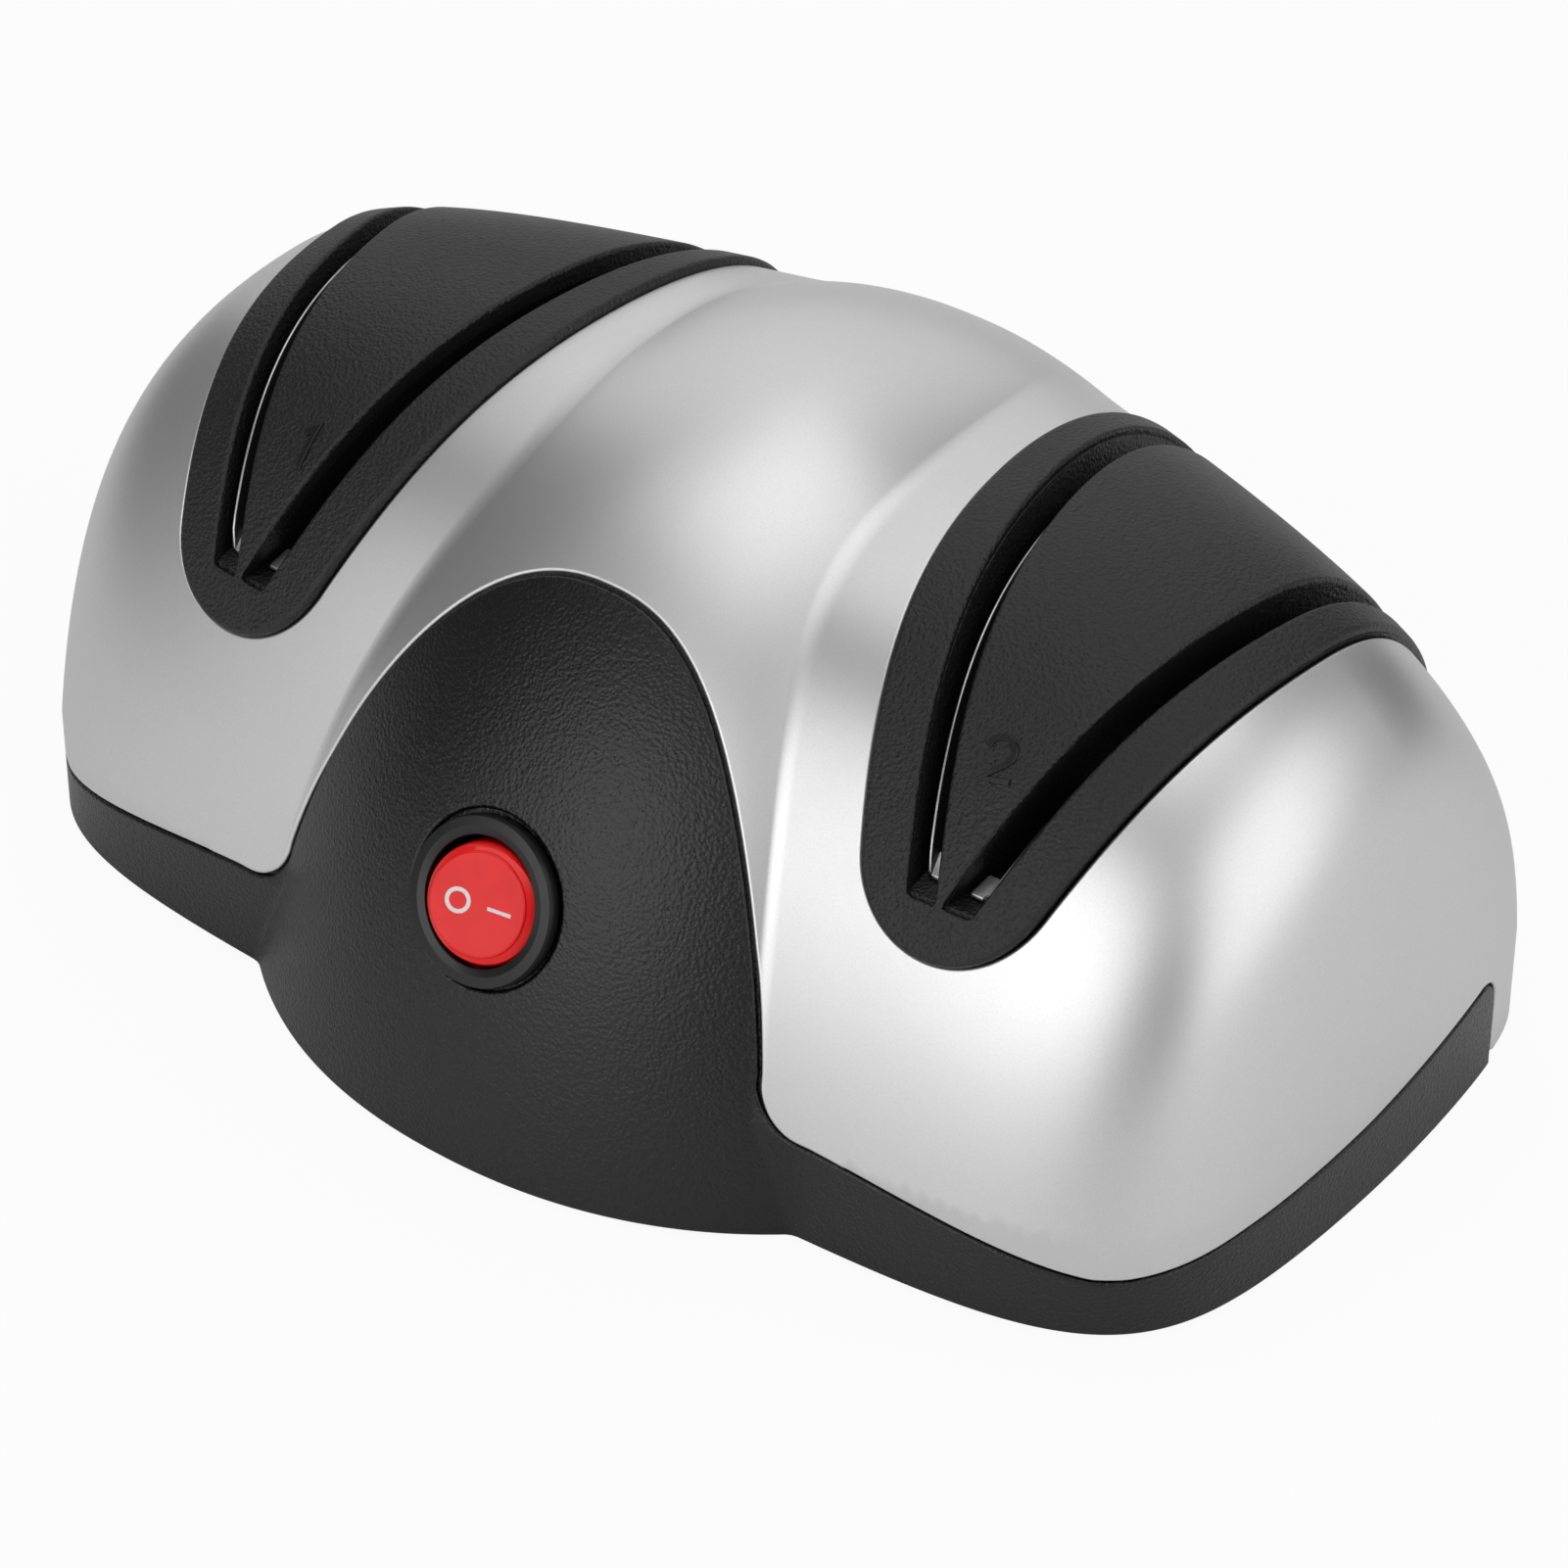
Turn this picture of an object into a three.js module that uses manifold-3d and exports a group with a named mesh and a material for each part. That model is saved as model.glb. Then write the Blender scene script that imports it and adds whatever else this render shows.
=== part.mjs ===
// Two-stage electric knife sharpener. Lengths are in millimetres, +Z is up,
// +X runs along the sharpener and -Y is the front, where the switch is.
import * as THREE from 'three';
import { mergeVertices } from 'three/addons/utils/BufferGeometryUtils.js';
import Module from 'manifold-3d';

const wasm = await Module();
wasm.setup();

// Overall casing, a bowed loaf with its ridge a little behind the middle
const casing = {
  halfLength: 101.2,
  endBow: 5.3,
  endBowDepth: 50,
  crownHeight: 87.4,
  shoulderHeight: 15.8,
  ridgeY: 7.7,
  frontDepth: 64.2,
  backDepth: 69.9,
  rearReach: 61.5,
  wall: 2.6,
  frontTaperShare: 0.038,
  backTaperShare: 0.215,
  topTaperShare: 0.349,
  rearTaperShare: 0.127,
  leanShare: 0.269,
  endLeanShare: 0.015,
  lengthPower: 4.1,
  frontPower: 2.19,
  backPower: 2,
  cornerPower: 6.9,
  rearPower: 12,
};
// Motor hump across the middle of the casing, and the black front dome that carries on from it
const hump = {
  halfWidth: 73,
  depth: 79.3,
  centreY: 7.1,
  rise: 109.8,
  sink: 23.5,
  rearReach: 64.4,
  planPower: 2.16,
  risePower: 2.04,
  rearPower: 12,
};
const arch = {
  footHalfWidth: 41,
  crown: 71.6,
  footRadius: 7,
  backY: -22,
  sidePower: 2.27,
  risePower: 1.42,
};
// Parting line between the black base and the silver cover
const seam = {
  besideDome: 15.8,
  frontCorner: 9.2,
  domeEdgeX: 49,
  cornerReach: 13.2,
  dipPower: 1.3,
  endFrontY: -44,
  endRiseY: -28,
  endRise: 11.3,
  endMiddleY: -3,
  endMiddle: 12.9,
  endBackY: 31,
  endBack: 16,
  endRadius: 5,
  rearLift: 1.6,
  gap: 0.35,
};
const base = {
  floorBottom: 2,
  floorThickness: 2.4,
  footDiameter: 13,
  footStandOut: 0.8,
  footRingBottom: 0.8,
  footRingWall: 1.6,
  footGap: 0.3,
  footEndReach: 35.2,
  footY: 38,
  ventCount: 5,
  ventWidth: 2.6,
  ventPitch: 6,
  ventLength: 24,
};
// Black guide modules over the two wheel bays, one at each end
const guideModule = {
  centreShare: 0.57905,
  proud: 1.2,
  gap: 0.35,
  tipShare: 0.51831,
  tipAtY: -48,
  tipDropShare: 0.152,
  halfWidth: 14.6,
  widthAtY: -35,
  widthHeightShare: 0.64645,
  widenShare: 0.1,
  flareShare: 0.318,
  frontY: -60,
  backY: 66,
  flangeWidth: 2.2,
  flangeThickness: 1.5,
};
// Two knife slots in each module, on planes that lean out and spread to the back
const slot = {
  width: 4.4,
  offset: 11,
  offsetHeightShare: 0.6865,
  yawShare: 0.155,
  leanShare: 0.25,
  floorShare: 0.59039,
  floorThickness: 3.2,
  guideWall: 1.6,
  frontY: -40,
  backY: 50,
};
const guideSpring = {
  thickness: 0.5,
  wallGap: 1.1,
  topDrop: 1.4,
  floorGap: 0.3,
  frontY: -36.8,
  backY: 44,
  footLength: 3.2,
  footWidth: 2,
};
// Motor, shaft and grinding wheels on one axis along X
const shaft = {
  y: 3,
  heightShare: 0.43478,
  diameter: 5,
  postReach: 4.5,
  fit: 0.06,
};
const wheel = {
  diameter: 36,
  innerOffset: 4.4,
  rimOffset: 7.9,
  hubOffset: 10,
  hubFaceDiameter: 16,
  bore: 9,
  clearance: 1.4,
  sideClearance: 2.2,
};
const hub = {
  flangeDiameter: 14,
  gap: 0.3,
};
const collar = {
  diameter: 12,
  length: 3,
};
const motor = {
  canDiameter: 42,
  canHalfLength: 26,
  canWall: 1.6,
  capGap: 0.3,
  capThickness: 3,
  noseDiameter: 14,
  noseLength: 4,
  bushDiameter: 9,
  bushLength: 6,
  bushGap: 0.2,
  magnetShare: 0.238,
  magnetGap: 0.3,
  magnetArcDegrees: 124,
  magnetHalfLength: 17,
  airGap: 0.6,
  poleCount: 5,
  poleShare: 0.37,
  shoeDepthShare: 0.163,
  shoeShare: 0.76,
  rootShare: 0.407,
  coreHalfLength: 13,
  windingEnd: 4,
  windingGap: 0.3,
  commutatorDiameter: 12,
  commutatorLength: 5,
  commutatorGap: 1.6,
  brushWidth: 3.6,
  brushGap: 0.3,
  brushReach: 6.5,
  holderWall: 1.4,
  holderReach: 8,
};
// Saddles on the floor hold the motor can, and a steel strap holds it down on each
const cradle = {
  x: 19,
  thickness: 7,
  gap: 0.3,
  strapWidth: 7,
  strapThickness: 1.2,
  seatHeight: 24,
  earLength: 8.5,
  lipWall: 2,
  lipReach: 5,
  lipThickness: 2.4,
};
// Posts near the ends of the shaft, each with a flanged bush that snaps in from above
const post = {
  bayReach: 20.9,
  thickness: 6,
  width: 17,
  mouthHeight: 4.2,
  mouthWidth: 7.6,
  bushDiameter: 9.4,
  bushFlangeDiameter: 12,
  bushFlangeThickness: 1,
  bushGap: 0.25,
};
// Round rocker switch, square to the front dome
const rocker = {
  y: -60,
  z: 36.3,
  faceTiltDegrees: 25,
  bezelDiameter: 23,
  bezelThickness: 2,
  barrelDiameter: 20.4,
  barrelDepth: 15,
  gap: 0.3,
  recessDiameter: 25.2,
  recessDepth: 1.1,
  wellDiameter: 18.2,
  wellDepth: 7.2,
  buttonDiameter: 16.4,
  rimDiameter: 14.4,
  shoulderRise: 1,
  buttonRise: 2.9,
  buttonDip: 2.2,
  buttonDepth: 5,
  footShare: 0.78,
  pivotDepth: 3,
  pinDiameter: 2,
  pinReach: 9.7,
  pressDegrees: 12,
  tabWidth: 4.8,
  tabThickness: 0.8,
  tabLength: 8,
  tabOffset: 3.6,
};
// Circuit board with the suppressor capacitor and the rectifier, in the front of the left wheel bay
const board = {
  saddleReach: 31,
  y: -35,
  length: 32,
  depth: 17,
  thickness: 1.6,
  standHeight: 7,
  standDiameter: 6,
  standInset: 3.6,
  gap: 0.3,
};
const boardPart = {
  capacitorLength: 13,
  capacitorDepth: 6,
  capacitorHeight: 11,
  capacitorOffset: -4,
  bridgeLength: 7,
  bridgeDepth: 6,
  bridgeHeight: 6,
  bridgeOffset: 6.5,
};
// Bush in the rear wall that the supply lead comes in through
const gland = {
  z: 13,
  bore: 6.4,
  neckDiameter: 9,
  flangeDiameter: 13,
  flangeThickness: 2.2,
  innerFlangeDiameter: 11.4,
  innerFlangeThickness: 1.6,
  gap: 0.3,
  wallEase: 0.6,
};
// Screw bosses at the corners: one half stands on the floor, the other hangs from the cover
const boss = {
  endReach: 12.7,
  y: 27,
  diameter: 9.6,
  upperDiameter: 8,
  meetHeight: 20,
  gap: 0.3,
  screwDiameter: 3,
  screwReach: 12,
  headDiameter: 5.8,
  headHeight: 2,
  seatHeight: 7,
};
const smallScrew = {
  screwDiameter: 2.4,
  gap: 0.3,
  headDiameter: 4.6,
  headHeight: 1.6,
  length: 9,
};
const wire = {
  diameter: 1.8,
  endGap: 0.7,
  steps: 10,
  landingInset: 3,
  landingShift: 0.4,
  spacing: 2.2,
  lead: 4,
  lift: 3,
  passGap: 2.4,
  passDrop: 4,
  capInset: 12,
  capDrop: 6,
};
const overrun = 4;
const hair = 0.01;

// Places that follow the casing's length and height
const bayX = casing.halfLength * guideModule.centreShare;
const tipHeight = casing.crownHeight * guideModule.tipShare;
const widthHeight = casing.crownHeight * guideModule.widthHeightShare;
const slotHeight = casing.crownHeight * slot.offsetHeightShare;
const slotFloor = casing.crownHeight * slot.floorShare;
const shaftHeight = casing.crownHeight * shaft.heightShare;
const postX = bayX + post.bayReach;
const shaftEnd = postX + shaft.postReach;
const boardX = -cradle.x - board.saddleReach;

// Facets round the casing and up it, and round turned pieces
const skin = { columns: 56, rows: 14 };
const lining = { columns: 30, rows: 8 };
const facets = { large: 30, middle: 18, small: 12, screw: 8, wire: 6 };

const colours = {
  silver: { color: 0xb4b5b7, roughness: 0.36, metalness: 0.75 },
  blackShell: { color: 0x1b1b1c, roughness: 0.5, metalness: 0 },
  moduleBlack: { color: 0x202021, roughness: 0.65, metalness: 0 },
  switchBlack: { color: 0x141414, roughness: 0.4, metalness: 0 },
  switchRed: { color: 0xe0242c, roughness: 0.25, metalness: 0 },
  steel: { color: 0xb9bcc0, roughness: 0.3, metalness: 1 },
  zinc: { color: 0x9ea2a6, roughness: 0.45, metalness: 1 },
  lamination: { color: 0x5d5f63, roughness: 0.6, metalness: 0.8 },
  copper: { color: 0xb5662f, roughness: 0.4, metalness: 0.8 },
  bronze: { color: 0x9c7440, roughness: 0.5, metalness: 0.9 },
  carbon: { color: 0x2a2a2c, roughness: 0.8, metalness: 0 },
  ferrite: { color: 0x35363a, roughness: 0.8, metalness: 0.1 },
  coarseGrit: { color: 0x8a8f93, roughness: 0.9, metalness: 0 },
  fineGrit: { color: 0xd9d5cc, roughness: 0.85, metalness: 0 },
  hubPlastic: { color: 0xcfcfca, roughness: 0.5, metalness: 0 },
  laminate: { color: 0x2e6b3c, roughness: 0.5, metalness: 0 },
  capacitorYellow: { color: 0xd8b23a, roughness: 0.45, metalness: 0 },
  resin: { color: 0x18181a, roughness: 0.5, metalness: 0 },
  rubber: { color: 0x202020, roughness: 0.9, metalness: 0 },
  wireBlue: { color: 0x2c4f9a, roughness: 0.5, metalness: 0 },
  wireBrown: { color: 0x6b3f22, roughness: 0.5, metalness: 0 },
};

const sharpener = new THREE.Group();

// Booleans
function toSolid(geometry) {
  const plain = geometry.clone();
  plain.deleteAttribute('normal');
  plain.deleteAttribute('uv');
  const merged = mergeVertices(plain, hair / 10);
  const vertProperties = new Float32Array(merged.attributes.position.array);
  const triVerts = new Uint32Array(merged.index.array);
  const solid = new wasm.Manifold(new wasm.Mesh({ numProp: 3, vertProperties, triVerts }));
  if (solid.volume() > 0) return solid;
  return new wasm.Manifold(new wasm.Mesh({ numProp: 3, vertProperties, triVerts: triVerts.reverse() }));
}

function toGeometry(solid) {
  const mesh = solid.getMesh();
  const geometry = new THREE.BufferGeometry();
  geometry.setAttribute('position', new THREE.BufferAttribute(new Float32Array(mesh.vertProperties), 3));
  geometry.setIndex(new THREE.BufferAttribute(new Uint32Array(mesh.triVerts), 1));
  return geometry;
}

function joinAll(solids) {
  return solids.reduce((whole, next) => whole.add(next));
}

function cutAll(solid, cutters) {
  return cutters.reduce((whole, next) => whole.subtract(next), solid);
}

function addNode(name, solid, finish, parent = sharpener) {
  const geometry = toGeometry(solid);
  geometry.computeVertexNormals();
  const mesh = new THREE.Mesh(geometry, new THREE.MeshStandardMaterial(finish));
  mesh.name = name;
  parent.add(mesh);
  return mesh;
}

// Plain solids, placed where they belong
function boxSolid(low, high) {
  const size = high.map((value, i) => value - low[i]);
  const geometry = new THREE.BoxGeometry(...size);
  geometry.translate(...high.map((value, i) => (value + low[i]) / 2));
  return toSolid(geometry);
}

function rodAlongX(diameter, x0, x1, y, z, sides = facets.middle) {
  const geometry = new THREE.CylinderGeometry(diameter / 2, diameter / 2, Math.abs(x1 - x0), sides);
  geometry.rotateZ(Math.PI / 2);
  geometry.translate((x0 + x1) / 2, y, z);
  return toSolid(geometry);
}

function rodAlongY(diameter, y0, y1, x, z, sides = facets.middle) {
  const geometry = new THREE.CylinderGeometry(diameter / 2, diameter / 2, Math.abs(y1 - y0), sides);
  geometry.translate(x, (y0 + y1) / 2, z);
  return toSolid(geometry);
}

function rodAlongZ(diameter, z0, z1, x, y, sides = facets.small) {
  const geometry = new THREE.CylinderGeometry(diameter / 2, diameter / 2, Math.abs(z1 - z0), sides);
  geometry.rotateX(Math.PI / 2);
  geometry.translate(x, y, (z0 + z1) / 2);
  return toSolid(geometry);
}

// Outline in X and Z, carried from y0 to y1
function prismAlongY(points, y0, y1) {
  const shape = new THREE.Shape(points.map(([x, z]) => new THREE.Vector2(x, z)));
  const geometry = new THREE.ExtrudeGeometry(shape, { depth: y1 - y0, bevelEnabled: false });
  geometry.rotateX(Math.PI / 2);
  geometry.translate(0, y1, 0);
  return toSolid(geometry);
}

// Outline in Y and Z, carried from x0 to x1
function prismAlongX(points, x0, x1) {
  const shape = new THREE.Shape(points.map(([y, z]) => new THREE.Vector2(y, z)));
  const geometry = new THREE.ExtrudeGeometry(shape, { depth: x1 - x0, bevelEnabled: false });
  geometry.rotateX(Math.PI / 2);
  geometry.rotateZ(Math.PI / 2);
  geometry.translate(x0, 0, 0);
  return toSolid(geometry);
}

// Profile of [distance along X, radius], turned about the shaft line
function turnedAlongX(profile, sides = facets.large) {
  const points = profile.map(([along, radius]) => new THREE.Vector2(radius, along));
  const geometry = new THREE.LatheGeometry([...points, points[0]], sides);
  geometry.rotateZ(-Math.PI / 2);
  geometry.translate(0, shaft.y, shaftHeight);
  return toSolid(geometry);
}

// Casing surface: both level functions give 1 on the surface, less inside, and grow with distance
function softMost(a, b, power) {
  return (Math.abs(a) ** power + Math.abs(b) ** power) ** (1 / power);
}

function casingLevel(p, inset) {
  const top = casing.crownHeight - inset;
  const rise = Math.max(p.z - casing.shoulderHeight, 0) / (top - casing.shoulderHeight);
  const climb = Math.min(rise, 1);
  const across = p.y - casing.ridgeY;
  const front = across < 0;
  const backTaper = casing.backTaperShare + casing.topTaperShare * climb;
  const taper = (front ? casing.frontTaperShare : backTaper) * Math.abs(p.x);
  const depth = (front ? casing.frontDepth : casing.backDepth) - inset - taper;
  const lean = front ? 1 - casing.leanShare * climb : 1;
  const q = Math.abs(across) / (Math.max(depth, hair) * lean);
  const bow = casing.endBow * (p.y / casing.endBowDepth) ** 2;
  const reach = (casing.halfLength - inset) * (1 - casing.endLeanShare * climb);
  const along = softMost((Math.abs(p.x) + bow) / reach, rise, casing.lengthPower);
  const over = softMost(q, rise, front ? casing.frontPower : casing.backPower);
  const loaf = softMost(along, over, casing.cornerPower);
  const rear = Math.max(p.y, 0) / (casing.rearReach - inset - casing.rearTaperShare * Math.abs(p.x));
  return softMost(loaf, rear, casing.rearPower);
}

function humpLevel(p, inset) {
  const plan = softMost(
    p.x / (hump.halfWidth - inset),
    (p.y - hump.centreY) / (hump.depth - inset),
    hump.planPower,
  );
  const rise = Math.max(p.z + hump.sink, 0) / (hump.rise - inset);
  const mound = softMost(plan, rise, hump.risePower);
  return softMost(mound, Math.max(p.y, 0) / (hump.rearReach - inset), hump.rearPower);
}

// Closed solid inside a level surface, on rays from the middle of the base
function moundSolid(level, inset, columns, rows, bottom) {
  const spread = new THREE.Vector3(casing.halfLength, casing.rearReach, casing.crownHeight);
  const positions = [];
  const onSurface = (turn, climb) => {
    const way = new THREE.Vector3().setFromSphericalCoords(1, Math.PI / 2 - climb, Math.PI / 2 - turn);
    way.set(way.x, way.z, way.y).multiply(spread);
    let near = 0;
    let far = 2;
    for (let i = 0; i < 40; i += 1) {
      const half = (near + far) / 2;
      const inside = level(way.clone().multiplyScalar(half), inset) < 1;
      if (inside) near = half;
      else far = half;
    }
    return way.multiplyScalar(near);
  };
  for (let row = 0; row < rows; row += 1) {
    for (let column = 0; column < columns; column += 1) {
      const point = onSurface((2 * Math.PI * column) / columns, (Math.PI / 2) * (row / rows));
      positions.push(point.x, point.y, row === 0 ? bottom : point.z);
    }
  }
  const top = onSurface(0, Math.PI / 2);
  positions.push(top.x, top.y, top.z, 0, 0, bottom);
  const topIndex = rows * columns;
  const index = [];
  for (let column = 0; column < columns; column += 1) {
    const next = (column + 1) % columns;
    for (let row = 0; row < rows - 1; row += 1) {
      const a = row * columns + column;
      const b = row * columns + next;
      index.push(a, b, b + columns, a, b + columns, a + columns);
    }
    const last = (rows - 1) * columns;
    index.push(last + column, last + next, topIndex);
    index.push(next, column, topIndex + 1);
  }
  const geometry = new THREE.BufferGeometry();
  geometry.setAttribute('position', new THREE.Float32BufferAttribute(positions, 3));
  geometry.setIndex(index);
  return toSolid(geometry);
}

function bodySolid(inset, { columns, rows }, bottom = 0) {
  const loaf = moundSolid(casingLevel, inset, columns, rows, bottom);
  const mound = moundSolid(humpLevel, inset, columns, rows, bottom);
  return loaf.add(mound);
}

const outerBody = bodySolid(0, skin);
const innerBody = bodySolid(casing.wall, lining, -overrun);
const casingShell = outerBody.subtract(innerBody);
const reach = new THREE.Vector3(
  casing.halfLength + overrun,
  hump.depth + overrun,
  hump.rise + overrun,
);

// Outline of the black front dome, with its feet flared into the parting line
function archPoints(shrink) {
  const foot = seam.besideDome - shrink;
  const half = arch.footHalfWidth - shrink;
  const height = arch.crown - shrink - foot;
  const flare = arch.footRadius + shrink;
  const sideX = half * (1 - (flare / height) ** arch.risePower) ** (1 / arch.sidePower);
  const side = [[sideX + flare, -overrun]];
  const flareSteps = 4;
  for (let i = 0; i < flareSteps; i += 1) {
    const turn = (Math.PI / 2) * (i / flareSteps);
    side.push([sideX + flare - flare * Math.sin(turn), foot + flare - flare * Math.cos(turn)]);
  }
  const start = Math.asin((flare / height) ** (arch.risePower / 2));
  const archSteps = 16;
  for (let i = 0; i < archSteps; i += 1) {
    const turn = start + (Math.PI / 2 - start) * (i / archSteps);
    const x = half * Math.cos(turn) ** (2 / arch.sidePower);
    side.push([x, foot + height * Math.sin(turn) ** (2 / arch.risePower)]);
  }
  const mirrored = side.map(([x, z]) => [-x, z]).reverse();
  return [...side, [0, foot + height], ...mirrored];
}

// Height of the parting line along the front, from the dome to the corner
function frontSeamPoints(shrink) {
  const side = [];
  const cornerX = casing.halfLength - seam.cornerReach;
  const steps = 5;
  for (let i = 0; i <= steps; i += 1) {
    const x = seam.domeEdgeX + (cornerX - seam.domeEdgeX) * (i / steps);
    const dip = (i / steps) ** seam.dipPower;
    side.push([x, seam.besideDome - (seam.besideDome - seam.frontCorner) * dip - shrink]);
  }
  side.push([reach.x, seam.frontCorner - shrink], [reach.x, -overrun]);
  const mirrored = side.map(([x, z]) => [-x, z]).reverse();
  return [...mirrored, ...side];
}

// Height of the parting line round the end, which drops to the floor behind
function endSeamPoints(shrink) {
  const back = seam.endBackY - shrink;
  const points = [
    [-reach.y, -overrun],
    [-reach.y, seam.frontCorner - shrink],
    [seam.endFrontY, seam.frontCorner - shrink],
    [seam.endRiseY, seam.endRise - shrink],
    [seam.endMiddleY, seam.endMiddle - shrink],
  ];
  const steps = 4;
  for (let i = 0; i <= steps; i += 1) {
    const turn = (Math.PI / 2) * (i / steps);
    const y = back - seam.endRadius + seam.endRadius * Math.sin(turn);
    points.push([y, seam.endBack - shrink - seam.endRadius + seam.endRadius * Math.cos(turn)]);
  }
  points.push([back, -overrun]);
  return points;
}

function baseZone(shrink) {
  return joinAll([
    prismAlongY(archPoints(shrink), -reach.y, arch.backY),
    prismAlongY(frontSeamPoints(shrink), -reach.y, 0),
    prismAlongX(endSeamPoints(shrink), -reach.x, reach.x),
  ]);
}

// U-shaped outline of a module in X and Z at one depth; it widens upwards and towards the back
function moduleOutline(side, y, grow) {
  const flare = guideModule.flareShare;
  const slant = Math.sqrt(1 + flare * flare);
  const tip = tipHeight - guideModule.tipDropShare * (y - guideModule.tipAtY) - grow;
  const widening = guideModule.widenShare * (y - guideModule.widthAtY);
  const atTip = guideModule.halfWidth + widening + flare * (tip - widthHeight) + grow * slant;
  const radius = atTip / (slant - flare);
  const centreZ = tip + radius;
  const lean = Math.atan(flare);
  const steps = 14;
  const points = [];
  for (let i = 0; i <= steps; i += 1) {
    const turn = -Math.PI + lean + (Math.PI - 2 * lean) * (i / steps);
    points.push([radius * Math.cos(turn), centreZ + radius * Math.sin(turn)]);
  }
  const [tangentX, tangentZ] = points[steps];
  const topX = tangentX + flare * (reach.z - tangentZ);
  const outline = [[-topX, reach.z], ...points, [topX, reach.z]];
  return outline.map(([x, z]) => new THREE.Vector3(side * bayX + x, y, z));
}

function moduleZone(side, grow) {
  const front = moduleOutline(side, guideModule.frontY, grow);
  const back = moduleOutline(side, guideModule.backY, grow);
  const count = front.length;
  const index = [];
  for (let i = 0; i < count; i += 1) {
    const next = (i + 1) % count;
    index.push(i, next, count + next, i, count + next, count + i);
    if (i > 0 && i < count - 1) {
      index.push(0, i + 1, i, count, count + i, count + i + 1);
    }
  }
  const geometry = new THREE.BufferGeometry().setFromPoints([...front, ...back]);
  geometry.setIndex(index);
  return toSolid(geometry);
}

// Slab between two distances from a knife slot's middle plane; way is +1 or -1 from the module's middle
function slotSlab(side, way, from, to, y, z) {
  const low = Math.min(way * from, way * to);
  const high = Math.max(way * from, way * to);
  const geometry = new THREE.BoxGeometry(high - low, y[1] - y[0], z[1] - z[0]);
  geometry.translate((low + high) / 2, (y[0] + y[1]) / 2, (z[0] + z[1]) / 2);
  const position = geometry.attributes.position;
  for (let i = 0; i < position.count; i += 1) {
    const lean = slot.leanShare * (position.getZ(i) - slotHeight);
    const offset = slot.offset + slot.yawShare * position.getY(i) + lean;
    position.setX(i, side * bayX + position.getX(i) + way * offset);
  }
  return toSolid(geometry);
}

function bayRod(side, diameter, halfLength) {
  const middle = side * bayX;
  return rodAlongX(diameter, middle - halfLength, middle + halfLength, shaft.y, shaftHeight, facets.large);
}

// Cap over the bay, flange under the cover, and a pair of walls down each knife slot
function guideModuleSolid(side) {
  const capInset = casing.wall + guideModule.gap + guideModule.flangeThickness;
  const cap = bodySolid(-guideModule.proud, skin).intersect(moduleZone(side, -guideModule.gap));
  const flange = bodySolid(casing.wall + guideModule.gap, lining)
    .intersect(moduleZone(side, guideModule.flangeWidth));
  const cover = cap.add(flange).subtract(bodySolid(capInset, lining));
  const depth = [slot.frontY, slot.backY];
  const wallReach = slot.width / 2 + slot.guideWall;
  const walls = [-1, 1].map((way) => slotSlab(
    side,
    way,
    -wallReach,
    wallReach,
    depth,
    [slotFloor - slot.floorThickness, reach.z],
  ));
  const kept = joinAll(walls)
    .intersect(bodySolid(0, lining))
    .intersect(moduleZone(side, -guideModule.gap));
  const cuts = [-1, 1].map((way) => slotSlab(
    side,
    way,
    -slot.width / 2,
    slot.width / 2,
    [-reach.y, reach.y],
    [slotFloor, reach.z],
  ));
  const window = bayRod(side, wheel.diameter + 2 * wheel.clearance, wheel.hubOffset + wheel.sideClearance);
  return cutAll(cover.add(kept), [...cuts, window]);
}

// Steel leaf beside the outer wall of a slot, with a foot bent across the slot's floor
function guideSpringSolid(side, way) {
  const outer = slot.width / 2 - guideSpring.wallGap;
  const inner = outer - guideSpring.thickness;
  const floor = slotFloor + guideSpring.floorGap;
  const depth = [guideSpring.frontY, guideSpring.backY];
  const leaf = slotSlab(side, way, inner, outer, depth, [floor, reach.z])
    .intersect(bodySolid(guideSpring.topDrop, lining));
  const footBack = guideSpring.frontY + guideSpring.footLength;
  const foot = slotSlab(
    side,
    way,
    inner - guideSpring.footWidth,
    outer,
    [guideSpring.frontY, footBack],
    [floor, floor + guideSpring.thickness],
  );
  return leaf.add(foot);
}

// Screws: head on top or underneath, shank the other way; sink is -1 when it drives down
function screwSolid(x, y, headFace, sink, size, length) {
  const head = rodAlongZ(size.headDiameter, headFace, headFace - sink * size.headHeight, x, y);
  const tip = headFace + sink * length;
  return head.add(rodAlongZ(size.screwDiameter, headFace - sink * hair, tip, x, y, facets.screw));
}

const floorTop = base.floorBottom + base.floorThickness;
const corners = {
  front_left: [-1, -1],
  front_right: [1, -1],
  back_left: [-1, 1],
  back_right: [1, 1],
};
const ends = { left: -1, right: 1 };
const bossX = casing.halfLength - boss.endReach;
const footX = casing.halfLength - base.footEndReach;
const bossPlaces = Object.values(corners).map(([x, y]) => [x * bossX, y * boss.y]);
const footPlaces = Object.values(corners).map(([x, y]) => [x * footX, y * base.footY]);
const boardScrewPlaces = Object.values(ends).map((side) => [
  boardX + side * (board.length / 2 - board.standInset),
  board.y - side * (board.depth / 2 - board.standInset),
]);
const strapReach = motor.canDiameter / 2 + cradle.gap + cradle.strapThickness + cradle.earLength;
const strapScrewPlaces = Object.values(ends).map((side) => [
  side * cradle.x,
  shaft.y + strapReach - cradle.earLength / 2,
]);
const cradleFrontY = shaft.y - strapReach - cradle.gap - cradle.lipWall;
const shaftBore = shaft.diameter + 2 * shaft.fit;
const smallHole = smallScrew.screwDiameter + 2 * smallScrew.gap;
const smallHoleDepth = smallScrew.length + smallScrew.gap;

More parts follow.
